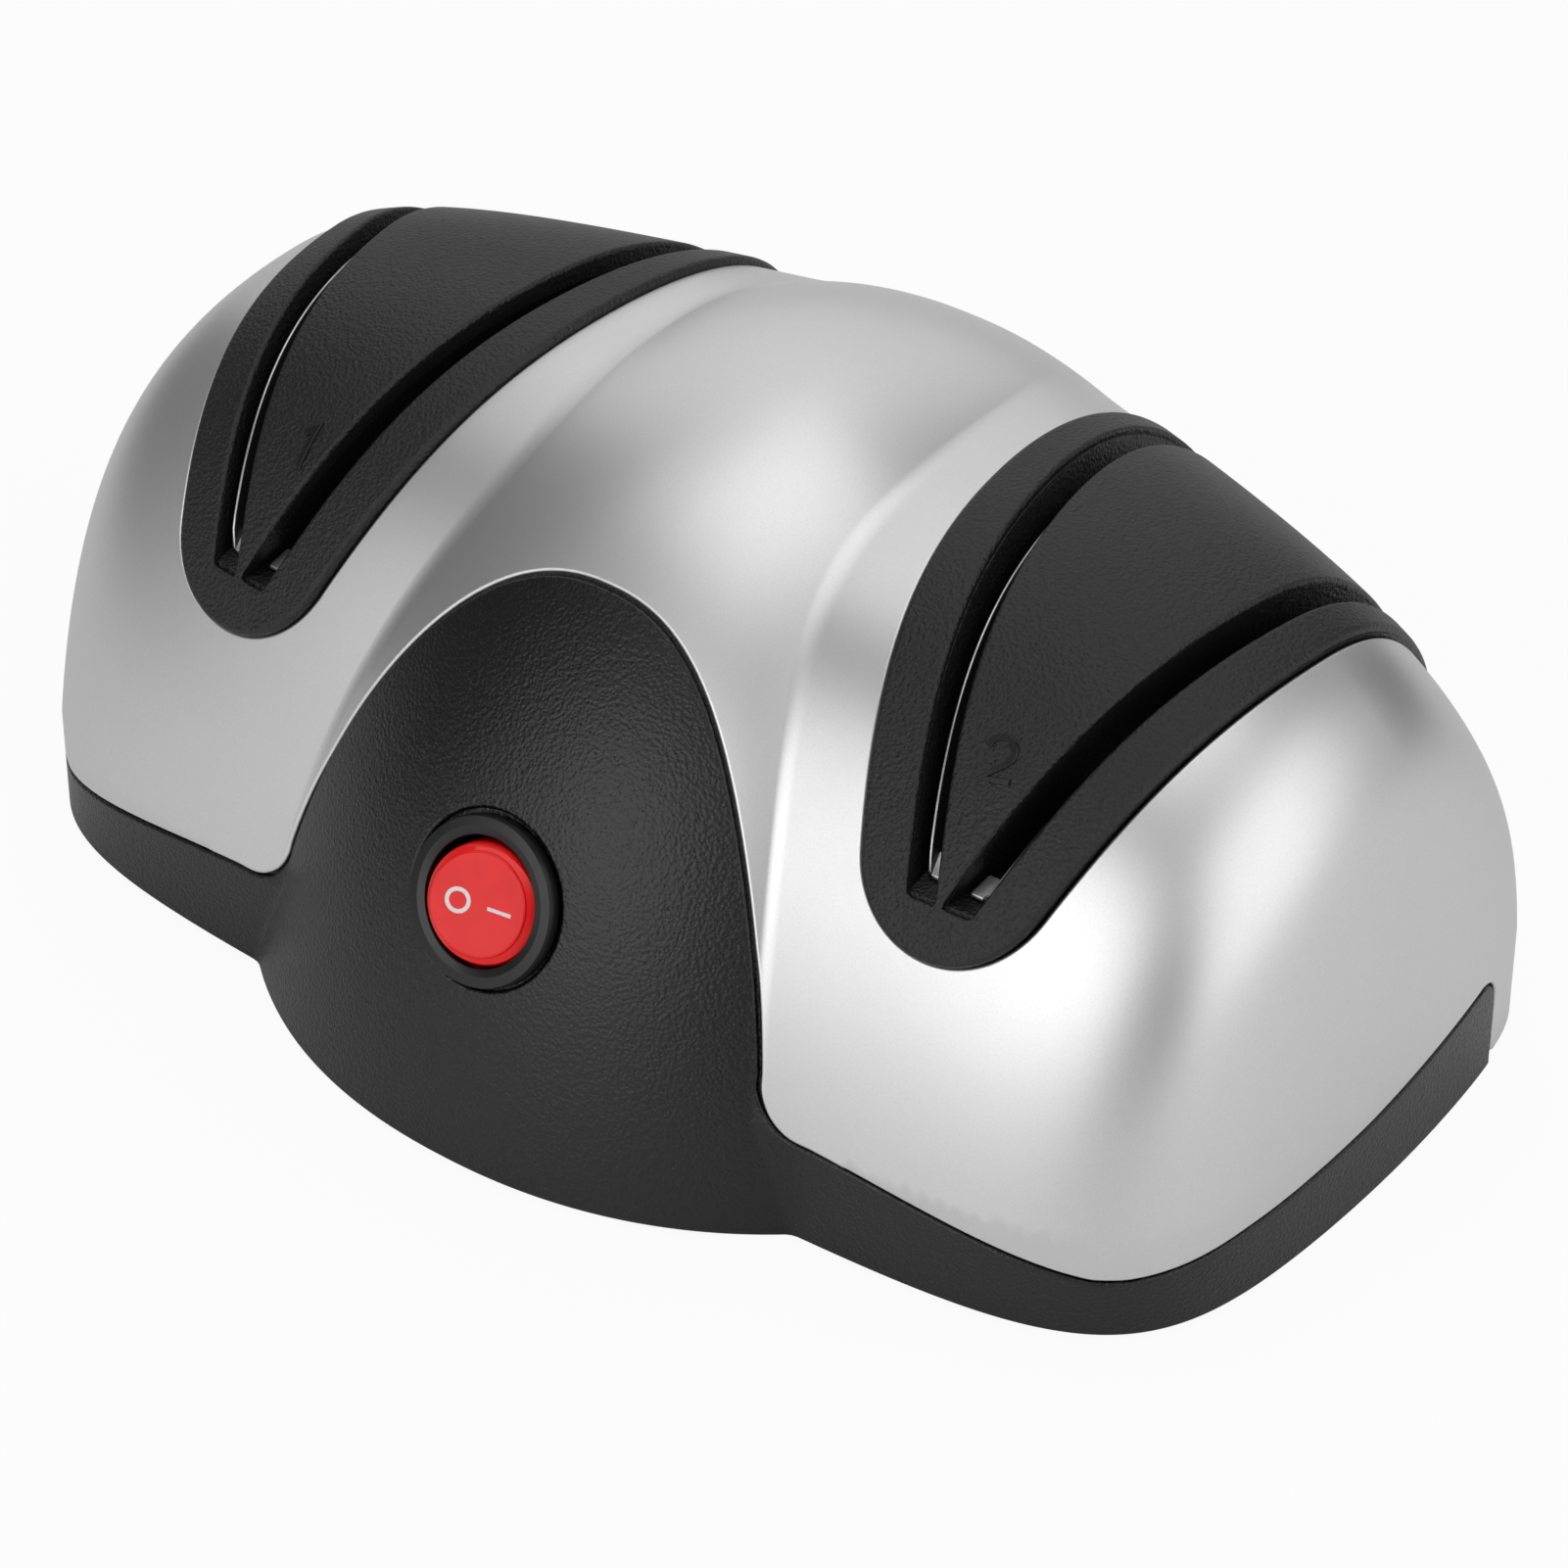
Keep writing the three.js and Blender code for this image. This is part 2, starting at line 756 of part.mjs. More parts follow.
// Switch frame: local +Z points out of the dome, local X stays along the sharpener
const switchPlace = new THREE.Group();
switchPlace.position.set(0, rocker.y, rocker.z);
switchPlace.rotation.x = Math.PI / 2 - THREE.MathUtils.degToRad(rocker.faceTiltDegrees);
switchPlace.updateMatrix();
sharpener.add(switchPlace);

function switchRod(diameter, z0, z1, topDiameter = diameter) {
  const geometry = new THREE.CylinderGeometry(topDiameter / 2, diameter / 2, z1 - z0, facets.large);
  geometry.rotateX(Math.PI / 2);
  geometry.translate(0, 0, (z0 + z1) / 2);
  return geometry;
}

function pinGeometry(diameter, halfLength) {
  return new THREE.CylinderGeometry(diameter / 2, diameter / 2, 2 * halfLength, facets.screw);
}

// Saddle under the motor, with a lip at the front that the strap hooks under
function saddleSolid(x) {
  const half = cradle.thickness / 2;
  const block = boxSolid(
    [x - half, cradleFrontY, floorTop - hair],
    [x + half, shaft.y + strapReach, cradle.seatHeight],
  );
  const lipUnder = cradle.seatHeight + cradle.strapThickness + 2 * cradle.gap;
  const lipTop = lipUnder + cradle.lipThickness;
  const wallFoot = cradle.seatHeight - hair;
  const wallBack = cradleFrontY + cradle.lipWall;
  const wall = boxSolid([x - half, cradleFrontY, wallFoot], [x + half, wallBack, lipTop]);
  const lipBack = cradleFrontY + cradle.lipReach;
  const lip = boxSolid([x - half, cradleFrontY, lipUnder], [x + half, lipBack, lipTop]);
  const seat = motor.canDiameter + 2 * cradle.gap;
  const bed = rodAlongX(seat, x - half - overrun, x + half + overrun, shaft.y, shaftHeight, facets.large);
  return joinAll([block, wall, lip]).subtract(bed);
}

// Post with a round seat that the bush snaps into through a narrower mouth
function postSolid(x) {
  const half = post.thickness / 2;
  const block = boxSolid(
    [x - half, shaft.y - post.width / 2, floorTop - hair],
    [x + half, shaft.y + post.width / 2, shaftHeight + post.mouthHeight],
  );
  const seat = post.bushDiameter + 2 * post.bushGap;
  const bed = rodAlongX(seat, x - half - overrun, x + half + overrun, shaft.y, shaftHeight);
  const mouth = boxSolid(
    [x - half - overrun, shaft.y - post.mouthWidth / 2, shaftHeight],
    [x + half + overrun, shaft.y + post.mouthWidth / 2, reach.z],
  );
  return cutAll(block, [bed, mouth]);
}

function lowerBossSolid([x, y]) {
  return rodAlongZ(boss.diameter, base.floorBottom, boss.meetHeight, x, y);
}

function screwWay([x, y]) {
  const gap = boss.gap;
  const recess = rodAlongZ(boss.headDiameter + 2 * gap, -overrun, boss.seatHeight, x, y);
  const way = rodAlongZ(boss.screwDiameter + 2 * gap, 0, boss.meetHeight + overrun, x, y, facets.screw);
  return recess.add(way);
}

function footRingSolid([x, y]) {
  const inside = base.footDiameter + 2 * base.footGap;
  const ring = rodAlongZ(inside + 2 * base.footRingWall, base.footRingBottom, floorTop, x, y, facets.middle);
  return ring.subtract(rodAlongZ(inside, -overrun, base.floorBottom, x, y, facets.middle));
}

function ventSolids() {
  const vents = [];
  for (let i = 0; i < base.ventCount; i += 1) {
    const x = (i - (base.ventCount - 1) / 2) * base.ventPitch;
    const half = base.ventWidth / 2;
    vents.push(boxSolid(
      [x - half, shaft.y - base.ventLength / 2, -overrun],
      [x + half, shaft.y + base.ventLength / 2, floorTop + overrun],
    ));
  }
  return vents;
}

// Black base: floor, skirt and front dome in one moulding, with saddles, posts and bosses on the floor
function lowerHousingSolid() {
  const floorSlab = boxSolid([-reach.x, -reach.y, base.floorBottom], [reach.x, reach.y, floorTop]);
  const zone = baseZone(seam.gap);
  const skirt = casingShell.intersect(zone);
  const floorInSkirt = outerBody.intersect(floorSlab).intersect(zone);
  const floorInCover = bodySolid(casing.wall + seam.gap, lining, -overrun).intersect(floorSlab);
  const floorPlate = floorInSkirt.add(floorInCover);
  const stands = boardScrewPlaces.map(([x, y]) => (
    rodAlongZ(board.standDiameter, floorTop - hair, floorTop + board.standHeight, x, y)
  ));
  const solids = [
    skirt,
    floorPlate,
    ...[-1, 1].map((side) => saddleSolid(side * cradle.x)),
    ...[-1, 1].map((side) => postSolid(side * postX)),
    ...bossPlaces.map(lowerBossSolid),
    ...footPlaces.map(footRingSolid),
    ...stands,
  ];
  const hole = rocker.barrelDiameter + 2 * rocker.gap;
  const holeGeometry = switchRod(hole, -rocker.barrelDepth, overrun).applyMatrix4(switchPlace.matrix);
  const recessGeometry = switchRod(rocker.recessDiameter, -rocker.recessDepth, overrun)
    .applyMatrix4(switchPlace.matrix);
  const footSeats = footPlaces.map(([x, y]) => (
    rodAlongZ(base.footDiameter + 2 * base.footGap, -overrun, base.floorBottom, x, y, facets.middle)
  ));
  const smallHoles = [
    ...strapScrewPlaces.map(([x, y]) => [x, y, cradle.seatHeight]),
    ...boardScrewPlaces.map(([x, y]) => [x, y, floorTop + board.standHeight]),
  ].map(([x, y, top]) => {
    const bottom = Math.max(top - smallHoleDepth, floorTop);
    return rodAlongZ(smallHole, bottom, top + overrun, x, y, facets.screw);
  });
  return cutAll(joinAll(solids), [
    ...bossPlaces.map(screwWay),
    ...ventSolids(),
    ...footSeats,
    ...smallHoles,
    toSolid(holeGeometry),
    toSolid(recessGeometry),
  ]);
}

// Each hangs from the cover's underside and keeps clear of the module beside it
function upperBossSolid([x, y]) {
  const hang = rodAlongZ(boss.upperDiameter, boss.meetHeight + boss.gap, reach.z, x, y);
  const beside = moduleZone(Math.sign(x), guideModule.flangeWidth + boss.gap);
  return hang.intersect(bodySolid(casing.wall / 2, lining)).subtract(beside);
}

// Silver cover: the casing above the parting line, open at the front for the dome and above each bay
function upperHousingSolid() {
  const below = boxSolid([-reach.x, -reach.y, -overrun], [reach.x, reach.y, seam.rearLift]);
  const shell = cutAll(casingShell, [baseZone(0), below, moduleZone(-1, 0), moduleZone(1, 0)]);
  const pilotTop = boss.meetHeight + boss.screwReach + overrun;
  const pilots = bossPlaces.map(([x, y]) => (
    rodAlongZ(boss.screwDiameter + 2 * boss.gap, boss.meetHeight - overrun, pilotTop, x, y, facets.screw)
  ));
  const glandHole = rodAlongY(gland.neckDiameter + 2 * gland.gap, 0, reach.y, 0, gland.z);
  return cutAll(joinAll([shell, ...bossPlaces.map(upperBossSolid)]), [...pilots, glandHole]);
}

function glandSolid() {
  const outside = hump.rearReach + gland.gap;
  const inside = hump.rearReach - casing.wall - gland.wallEase;
  const neck = rodAlongY(gland.neckDiameter, inside - gland.innerFlangeThickness, outside, 0, gland.z);
  const flange = rodAlongY(gland.flangeDiameter, outside, outside + gland.flangeThickness, 0, gland.z);
  const inner = rodAlongY(
    gland.innerFlangeDiameter,
    inside - gland.innerFlangeThickness,
    inside,
    0,
    gland.z,
  );
  const bore = rodAlongY(gland.bore, 0, reach.y, 0, gland.z);
  return joinAll([neck, flange, inner]).subtract(bore);
}

function addCasing() {
  addNode('upper_housing', upperHousingSolid(), colours.silver);
  addNode('lower_housing', lowerHousingSolid(), colours.blackShell);
  addNode('cord_gland', glandSolid(), colours.rubber);
  const footTop = base.floorBottom - base.footGap;
  const screwLength = boss.meetHeight - boss.seatHeight + boss.screwReach;
  Object.keys(corners).forEach((corner, i) => {
    const [footX, footY] = footPlaces[i];
    const foot = rodAlongZ(base.footDiameter, -base.footStandOut, footTop, footX, footY, facets.middle);
    addNode(`${corner}_foot`, foot, colours.rubber);
    const screw = screwSolid(...bossPlaces[i], boss.seatHeight - boss.gap, 1, boss, screwLength);
    addNode(`${corner}_housing_screw`, screw, colours.zinc);
  });
}

function addGuideModules() {
  const names = { '-1': 'coarse', 1: 'fine' };
  for (const side of [-1, 1]) {
    addNode(`${names[side]}_guide_module`, guideModuleSolid(side), colours.moduleBlack);
    for (const way of [-1, 1]) {
      const place = side === way ? 'outer' : 'inner';
      addNode(`${names[side]}_${place}_guide_spring`, guideSpringSolid(side, way), colours.steel);
    }
  }
}

// Rocker switch: bezel and barrel, button turned to its off position, and two tabs behind
function addSwitch() {
  const bezelBack = rocker.gap - rocker.recessDepth;
  const bezelFront = bezelBack + rocker.bezelThickness;
  const pinHole = pinGeometry(rocker.pinDiameter + 2 * rocker.gap, rocker.barrelDiameter);
  pinHole.translate(0, 0, -rocker.pivotDepth);
  const body = toSolid(switchRod(rocker.bezelDiameter, bezelBack, bezelFront))
    .add(toSolid(switchRod(rocker.barrelDiameter, -rocker.barrelDepth, bezelBack + hair)))
    .subtract(toSolid(switchRod(rocker.wellDiameter, -rocker.wellDepth, overrun)))
    .subtract(toSolid(pinHole));
  addNode('switch_body', body, colours.switchBlack, switchPlace);

  const half = rocker.buttonDiameter / 2;
  const up = rocker.pivotDepth;
  const shoulder = up + rocker.shoulderRise;
  const rim = up + rocker.buttonRise;
  const profile = [
    [-half, rim],
    [0, up + rocker.buttonDip],
    [half, rim],
    [half, 0],
    [half * rocker.footShare, up - rocker.buttonDepth],
    [-half * rocker.footShare, up - rocker.buttonDepth],
    [-half, 0],
  ];
  const round = toSolid(switchRod(rocker.buttonDiameter, -rocker.barrelDepth, shoulder))
    .add(toSolid(switchRod(rocker.buttonDiameter, shoulder - hair, rim, rocker.rimDiameter)));
  const button = prismAlongY(profile, -half, half).intersect(round);
  const pin = pinGeometry(rocker.pinDiameter, rocker.pinReach);
  const pivot = new THREE.Group();
  pivot.position.z = -rocker.pivotDepth;
  pivot.rotation.y = THREE.MathUtils.degToRad(rocker.pressDegrees);
  switchPlace.add(pivot);
  addNode('switch_rocker', button.add(toSolid(pin)), colours.switchRed, pivot);

  for (const [name, side] of Object.entries(ends)) {
    const tab = new THREE.BoxGeometry(rocker.tabThickness, rocker.tabWidth, rocker.tabLength);
    const behind = -rocker.barrelDepth - rocker.gap - rocker.tabLength / 2;
    tab.translate(side * rocker.tabOffset, 0, behind);
    addNode(`${name}_switch_terminal`, toSolid(tab), colours.steel, switchPlace);
  }
}

// Ring about the shaft line between two places along X
function ringSolid(x0, x1, innerDiameter, outerDiameter, sides = facets.middle) {
  return turnedAlongX([
    [x0, innerDiameter / 2],
    [x0, outerDiameter / 2],
    [x1, outerDiameter / 2],
    [x1, innerDiameter / 2],
  ], sides);
}

// Pair of grinding wheels on one spool-shaped hub, with a collar outside each wheel
function addGrindingSet(side, name, finish) {
  const middle = side * bayX;
  const sleeve = wheel.bore / 2 - hub.gap;
  const flangeEnd = wheel.innerOffset - hub.gap;
  addNode(`${name}_wheel_hub`, turnedAlongX([
    [middle - wheel.hubOffset, shaftBore / 2],
    [middle - wheel.hubOffset, sleeve],
    [middle - flangeEnd, sleeve],
    [middle - flangeEnd, hub.flangeDiameter / 2],
    [middle + flangeEnd, hub.flangeDiameter / 2],
    [middle + flangeEnd, sleeve],
    [middle + wheel.hubOffset, sleeve],
    [middle + wheel.hubOffset, shaftBore / 2],
  ], facets.middle), colours.hubPlastic);
  for (const way of [-1, 1]) {
    const at = (offset) => middle + way * offset;
    const place = side === way ? 'outer' : 'inner';
    addNode(`${name}_${place}_wheel`, turnedAlongX([
      [at(wheel.innerOffset), wheel.bore / 2],
      [at(wheel.innerOffset), wheel.diameter / 2],
      [at(wheel.rimOffset), wheel.diameter / 2],
      [at(wheel.hubOffset), wheel.hubFaceDiameter / 2],
      [at(wheel.hubOffset), wheel.bore / 2],
    ]), finish);
    const from = at(wheel.hubOffset + hub.gap);
    const to = at(wheel.hubOffset + hub.gap + collar.length);
    addNode(`${name}_${place}_collar`, ringSolid(from, to, shaftBore, collar.diameter), colours.steel);
  }
}

function addDriveLine() {
  const rod = rodAlongX(shaft.diameter, -shaftEnd, shaftEnd, shaft.y, shaftHeight);
  addNode('motor_shaft', rod, colours.steel);
  addGrindingSet(-1, 'coarse', colours.coarseGrit);
  addGrindingSet(1, 'fine', colours.fineGrit);
}

// Arc-shaped outline about the shaft line, in Y and Z
function arcOutline(innerRadius, outerRadius, middleDegrees, spanDegrees, steps) {
  const points = [];
  const push = (radius, degrees) => {
    const turn = THREE.MathUtils.degToRad(degrees);
    points.push([shaft.y + radius * Math.cos(turn), shaftHeight + radius * Math.sin(turn)]);
  };
  for (let i = 0; i <= steps; i += 1) push(outerRadius, middleDegrees + spanDegrees * (i / steps - 1 / 2));
  for (let i = steps; i >= 0; i -= 1) push(innerRadius, middleDegrees + spanDegrees * (i / steps - 1 / 2));
  return points;
}

// Laminated armature core: poles with shoes round a root
function coreOutline(outerRadius, shoeRadius, rootRadius, poleWidth) {
  const points = [];
  const push = (radius, turn) => {
    points.push([shaft.y + radius * Math.cos(turn), shaftHeight + radius * Math.sin(turn)]);
  };
  for (let i = 0; i < motor.poleCount; i += 1) {
    const turn = (2 * Math.PI * i) / motor.poleCount;
    const shoe = (Math.PI / motor.poleCount) * motor.shoeShare;
    const atRoot = Math.asin(poleWidth / 2 / rootRadius);
    const atShoe = Math.asin(poleWidth / 2 / shoeRadius);
    push(rootRadius, turn - atRoot);
    push(shoeRadius, turn - atShoe);
    push(shoeRadius, turn - shoe);
    const steps = 4;
    for (let j = 0; j <= steps; j += 1) push(outerRadius, turn - shoe + 2 * shoe * (j / steps));
    push(shoeRadius, turn + shoe);
    push(shoeRadius, turn + atShoe);
    push(rootRadius, turn + atRoot);
  }
  return points;
}

// Spokes of the core with room round them, to cut out of the windings
function spokeSolids(outerRadius, poleWidth) {
  const spokes = [];
  const width = poleWidth + 2 * motor.windingGap;
  const reachX = motor.coreHalfLength + motor.windingGap;
  for (let i = 0; i < motor.poleCount; i += 1) {
    const spoke = new THREE.BoxGeometry(2 * reachX, outerRadius, width);
    spoke.translate(0, outerRadius / 2, 0);
    spoke.rotateX((2 * Math.PI * i) / motor.poleCount);
    spoke.translate(0, shaft.y, shaftHeight);
    spokes.push(toSolid(spoke));
  }
  return spokes;
}

// Permanent-magnet motor: can, two end caps with bushes, magnets, armature, commutator and brushes
function addMotor() {
  const canRadius = motor.canDiameter / 2;
  const canInside = canRadius - motor.canWall;
  const magnetOutside = canInside - motor.magnetGap;
  const magnetInside = magnetOutside - canRadius * motor.magnetShare;
  const coreRadius = magnetInside - motor.airGap;
  const shoeRadius = coreRadius * (1 - motor.shoeDepthShare);
  const rootRadius = coreRadius * motor.rootShare;
  const poleWidth = coreRadius * motor.poleShare;
  const canEnd = motor.canHalfLength;
  const can = ringSolid(-canEnd, canEnd, 2 * canInside, motor.canDiameter, facets.large);
  addNode('motor_can', can, colours.zinc);
  for (const [name, degrees] of [['upper', 90], ['lower', 270]]) {
    addNode(`${name}_field_magnet`, prismAlongX(
      arcOutline(magnetInside, magnetOutside, degrees, motor.magnetArcDegrees, 8),
      -motor.magnetHalfLength,
      motor.magnetHalfLength,
    ), colours.ferrite);
  }

  const windingEnd = motor.coreHalfLength + motor.windingEnd;
  const axle = rodAlongX(shaftBore, -reach.x, reach.x, shaft.y, shaftHeight);
  const section = coreOutline(coreRadius, shoeRadius, rootRadius, poleWidth);
  const core = prismAlongX(section, -motor.coreHalfLength, motor.coreHalfLength);
  addNode('armature_core', core.subtract(axle), colours.lamination);
  const windingOutside = shoeRadius - motor.windingGap;
  const windingInside = rootRadius + motor.windingGap;
  const windings = ringSolid(-windingEnd, windingEnd, 2 * windingInside, 2 * windingOutside);
  const spokes = spokeSolids(windingOutside + overrun, poleWidth);
  addNode('armature_windings', cutAll(windings, spokes), colours.copper);
  const commutatorFrom = -windingEnd - motor.commutatorGap;
  const commutatorTo = commutatorFrom - motor.commutatorLength;
  const commutator = ringSolid(commutatorFrom, commutatorTo, shaftBore, motor.commutatorDiameter);
  addNode('commutator', commutator, colours.copper);

  const brushX = (commutatorFrom + commutatorTo) / 2;
  const brushHalf = motor.brushWidth / 2;
  const brushFrom = motor.commutatorDiameter / 2 + motor.brushGap;
  for (const [name, side] of [['front', -1], ['back', 1]]) {
    const near = shaft.y + side * brushFrom;
    const far = near + side * motor.brushReach;
    addNode(`${name}_carbon_brush`, boxSolid(
      [brushX - brushHalf, Math.min(near, far), shaftHeight - brushHalf],
      [brushX + brushHalf, Math.max(near, far), shaftHeight + brushHalf],
    ), colours.carbon);
  }

  const capFace = motor.canHalfLength + motor.capGap;
  const noseEnd = capFace + motor.capThickness + motor.noseLength;
  for (const [name, side] of Object.entries(ends)) {
    const seat = motor.bushDiameter / 2 + motor.bushGap;
    let cap = turnedAlongX([
      [side * capFace, seat],
      [side * capFace, canRadius],
      [side * (capFace + motor.capThickness), canRadius],
      [side * (capFace + motor.capThickness), motor.noseDiameter / 2],
      [side * noseEnd, motor.noseDiameter / 2],
      [side * noseEnd, seat],
    ]);
    if (side < 0) {
      cap = brushHolderSolids(brushX, capFace).reduce((whole, holder) => whole.add(holder), cap);
    }
    addNode(side < 0 ? 'motor_brush_cap' : 'motor_end_cap', cap, colours.zinc);
    const bushFrom = side * (noseEnd - motor.bushLength);
    const bush = ringSolid(bushFrom, side * noseEnd, shaftBore, motor.bushDiameter);
    addNode(`${name}_motor_bush`, bush, colours.bronze);
  }
}

function brushHolderSolids(brushX, capFace) {
  const inside = motor.brushWidth / 2 + motor.brushGap;
  const outside = inside + motor.holderWall;
  const from = motor.commutatorDiameter / 2 + motor.brushGap + motor.holderWall;
  return [-1, 1].map((side) => {
    const near = shaft.y + side * from;
    const far = near + side * motor.holderReach;
    const holder = boxSolid(
      [-capFace - hair, Math.min(near, far), shaftHeight - outside],
      [brushX + outside, Math.max(near, far), shaftHeight + outside],
    );
    const passage = boxSolid(
      [brushX - inside, Math.min(near, far) - overrun, shaftHeight - inside],
      [brushX + inside, Math.max(near, far) + overrun, shaftHeight + inside],
    );
    return holder.subtract(passage);
  });
}

function strapOutline() {
  const inside = motor.canDiameter / 2 + cradle.gap;
  const outside = inside + cradle.strapThickness;
  const earEnd = outside + cradle.earLength;
  const earUnder = cradle.seatHeight + cradle.gap - shaftHeight;
  const earTop = earUnder + cradle.strapThickness;
  const steps = 14;
  const points = [[earEnd, earUnder], [earEnd, earTop], [outside, earTop]];
  for (let i = 0; i <= steps; i += 1) {
    const turn = Math.PI * (i / steps);
    points.push([outside * Math.cos(turn), outside * Math.sin(turn)]);
  }
  points.push([-outside, earTop], [-earEnd, earTop], [-earEnd, earUnder], [-inside, earUnder]);
  for (let i = steps; i >= 0; i -= 1) {
    const turn = Math.PI * (i / steps);
    points.push([inside * Math.cos(turn), inside * Math.sin(turn)]);
  }
  points.push([inside, earUnder]);
  return points.map(([y, z]) => [shaft.y + y, shaftHeight + z]);
}

function addStrapsAndBearings() {
  const strapFace = cradle.seatHeight + cradle.gap + cradle.strapThickness + smallScrew.gap;
  Object.entries(ends).forEach(([name, side], i) => {
    const half = cradle.strapWidth / 2;
    const [screwX, screwY] = strapScrewPlaces[i];
    const strap = prismAlongX(strapOutline(), side * cradle.x - half, side * cradle.x + half)
      .subtract(rodAlongZ(smallHole, 0, reach.z, screwX, screwY, facets.screw));
    addNode(`${name}_motor_strap`, strap, colours.zinc);
    const screw = screwSolid(screwX, screwY, strapFace, -1, smallScrew, smallScrew.length);
    addNode(`${name}_strap_screw`, screw, colours.zinc);

    const inFace = postX - post.thickness / 2 - post.bushGap;
    addNode(`${name}_shaft_bush`, turnedAlongX([
      [side * (inFace - post.bushFlangeThickness), shaftBore / 2],
      [side * (inFace - post.bushFlangeThickness), post.bushFlangeDiameter / 2],
      [side * inFace, post.bushFlangeDiameter / 2],
      [side * inFace, post.bushDiameter / 2],
      [side * (postX + post.thickness / 2), post.bushDiameter / 2],
      [side * (postX + post.thickness / 2), shaftBore / 2],
    ], facets.middle), colours.bronze);
  });
}

// Tube along a smooth curve, for a wire
function wireSolid(points) {
  const curve = new THREE.CatmullRomCurve3(points);
  const section = [];
  for (let i = 0; i < facets.wire; i += 1) {
    const turn = (2 * Math.PI * i) / facets.wire;
    section.push(new THREE.Vector2(Math.cos(turn), Math.sin(turn)).multiplyScalar(wire.diameter / 2));
  }
  const options = { steps: wire.steps, bevelEnabled: false, extrudePath: curve };
  return toSolid(new THREE.ExtrudeGeometry(new THREE.Shape(section), options));
}

function addElectrics() {
  const under = floorTop + board.standHeight + board.gap;
  const top = under + board.thickness;
  const plate = boxSolid(
    [boardX - board.length / 2, board.y - board.depth / 2, under],
    [boardX + board.length / 2, board.y + board.depth / 2, top],
  );
  const holes = boardScrewPlaces.map(([x, y]) => rodAlongZ(smallHole, 0, reach.z, x, y, facets.screw));
  addNode('circuit_board', cutAll(plate, holes), colours.laminate);
  const screwLength = board.thickness + board.standHeight;
  Object.keys(ends).forEach((name, i) => {
    const screw = screwSolid(...boardScrewPlaces[i], top + smallScrew.gap, -1, smallScrew, screwLength);
    addNode(`${name}_board_screw`, screw, colours.zinc);
  });
  const seat = top + board.gap;
  const onBoard = (offset, length, depth, height) => boxSolid(
    [boardX + offset - length / 2, board.y - depth / 2, seat],
    [boardX + offset + length / 2, board.y + depth / 2, seat + height],
  );
  addNode('suppressor_capacitor', onBoard(
    boardPart.capacitorOffset,
    boardPart.capacitorLength,
    boardPart.capacitorDepth,
    boardPart.capacitorHeight,
  ), colours.capacitorYellow);
  addNode('bridge_rectifier', onBoard(
    boardPart.bridgeOffset,
    boardPart.bridgeLength,
    boardPart.bridgeDepth,
    boardPart.bridgeHeight,
  ), colours.resin);

  // Wires land side by side on the board's right end, two from the switch and two from the brushes
  const landing = (i) => new THREE.Vector3(
    boardX + board.length / 2 - wire.landingInset,
    board.y + wire.landingShift + i * wire.spacing,
    seat + wire.diameter / 2,
  );
  const tabEnd = -rocker.barrelDepth - rocker.gap - rocker.tabLength - wire.endGap;
  Object.entries(ends).forEach(([name, side], i) => {
    const start = new THREE.Vector3(side * rocker.tabOffset, 0, tabEnd).applyMatrix4(switchPlace.matrix);
    const spread = 2 * i * wire.spacing;
    const leave = new THREE.Vector3(side * rocker.tabOffset, spread, tabEnd - wire.lead)
      .applyMatrix4(switchPlace.matrix);
    const pass = new THREE.Vector3(
      -cradle.x,
      cradleFrontY - wire.passGap - (1 - i) * wire.spacing,
      cradle.seatHeight + i * wire.spacing - wire.passDrop,
    );
    const end = landing(i);
    const arrive = end.clone().add(new THREE.Vector3(wire.lead, 0, wire.lift + spread));
    addNode(`${name}_switch_wire`, wireSolid([start, leave, pass, arrive, end]), colours.wireBrown);
  });
  const capX = -(motor.canHalfLength + motor.capGap + motor.capThickness + wire.diameter / 2 + wire.endGap);
  ['front', 'back'].forEach((name, i) => {
    const start = landing(i + Object.keys(ends).length);
    const spread = 2 * (1 - i) * wire.spacing;
    const leave = start.clone().add(new THREE.Vector3(wire.lead + spread, 0, wire.lift));
    const end = new THREE.Vector3(capX, shaft.y - wire.capInset, shaftHeight - wire.capDrop - spread);
    const arrive = end.clone().add(new THREE.Vector3(-wire.lead, 0, -wire.lift));
    addNode(`${name}_motor_wire`, wireSolid([start, leave, arrive, end]), colours.wireBlue);
  });
}

addCasing();
addGuideModules();
addSwitch();
addDriveLine();
addMotor();
addStrapsAndBearings();
addElectrics();

// The sharpener stands on its feet, centred over the origin
const outerBox = new THREE.Box3().setFromObject(sharpener);
sharpener.position.set(0, -(outerBox.min.y + outerBox.max.y) / 2, -outerBox.min.z);

export default sharpener;
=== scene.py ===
import math

import bmesh
import bpy
import numpy as np
from mathutils import Matrix, Vector
from mathutils.geometry import delaunay_2d_cdt
from mathutils.kdtree import KDTree


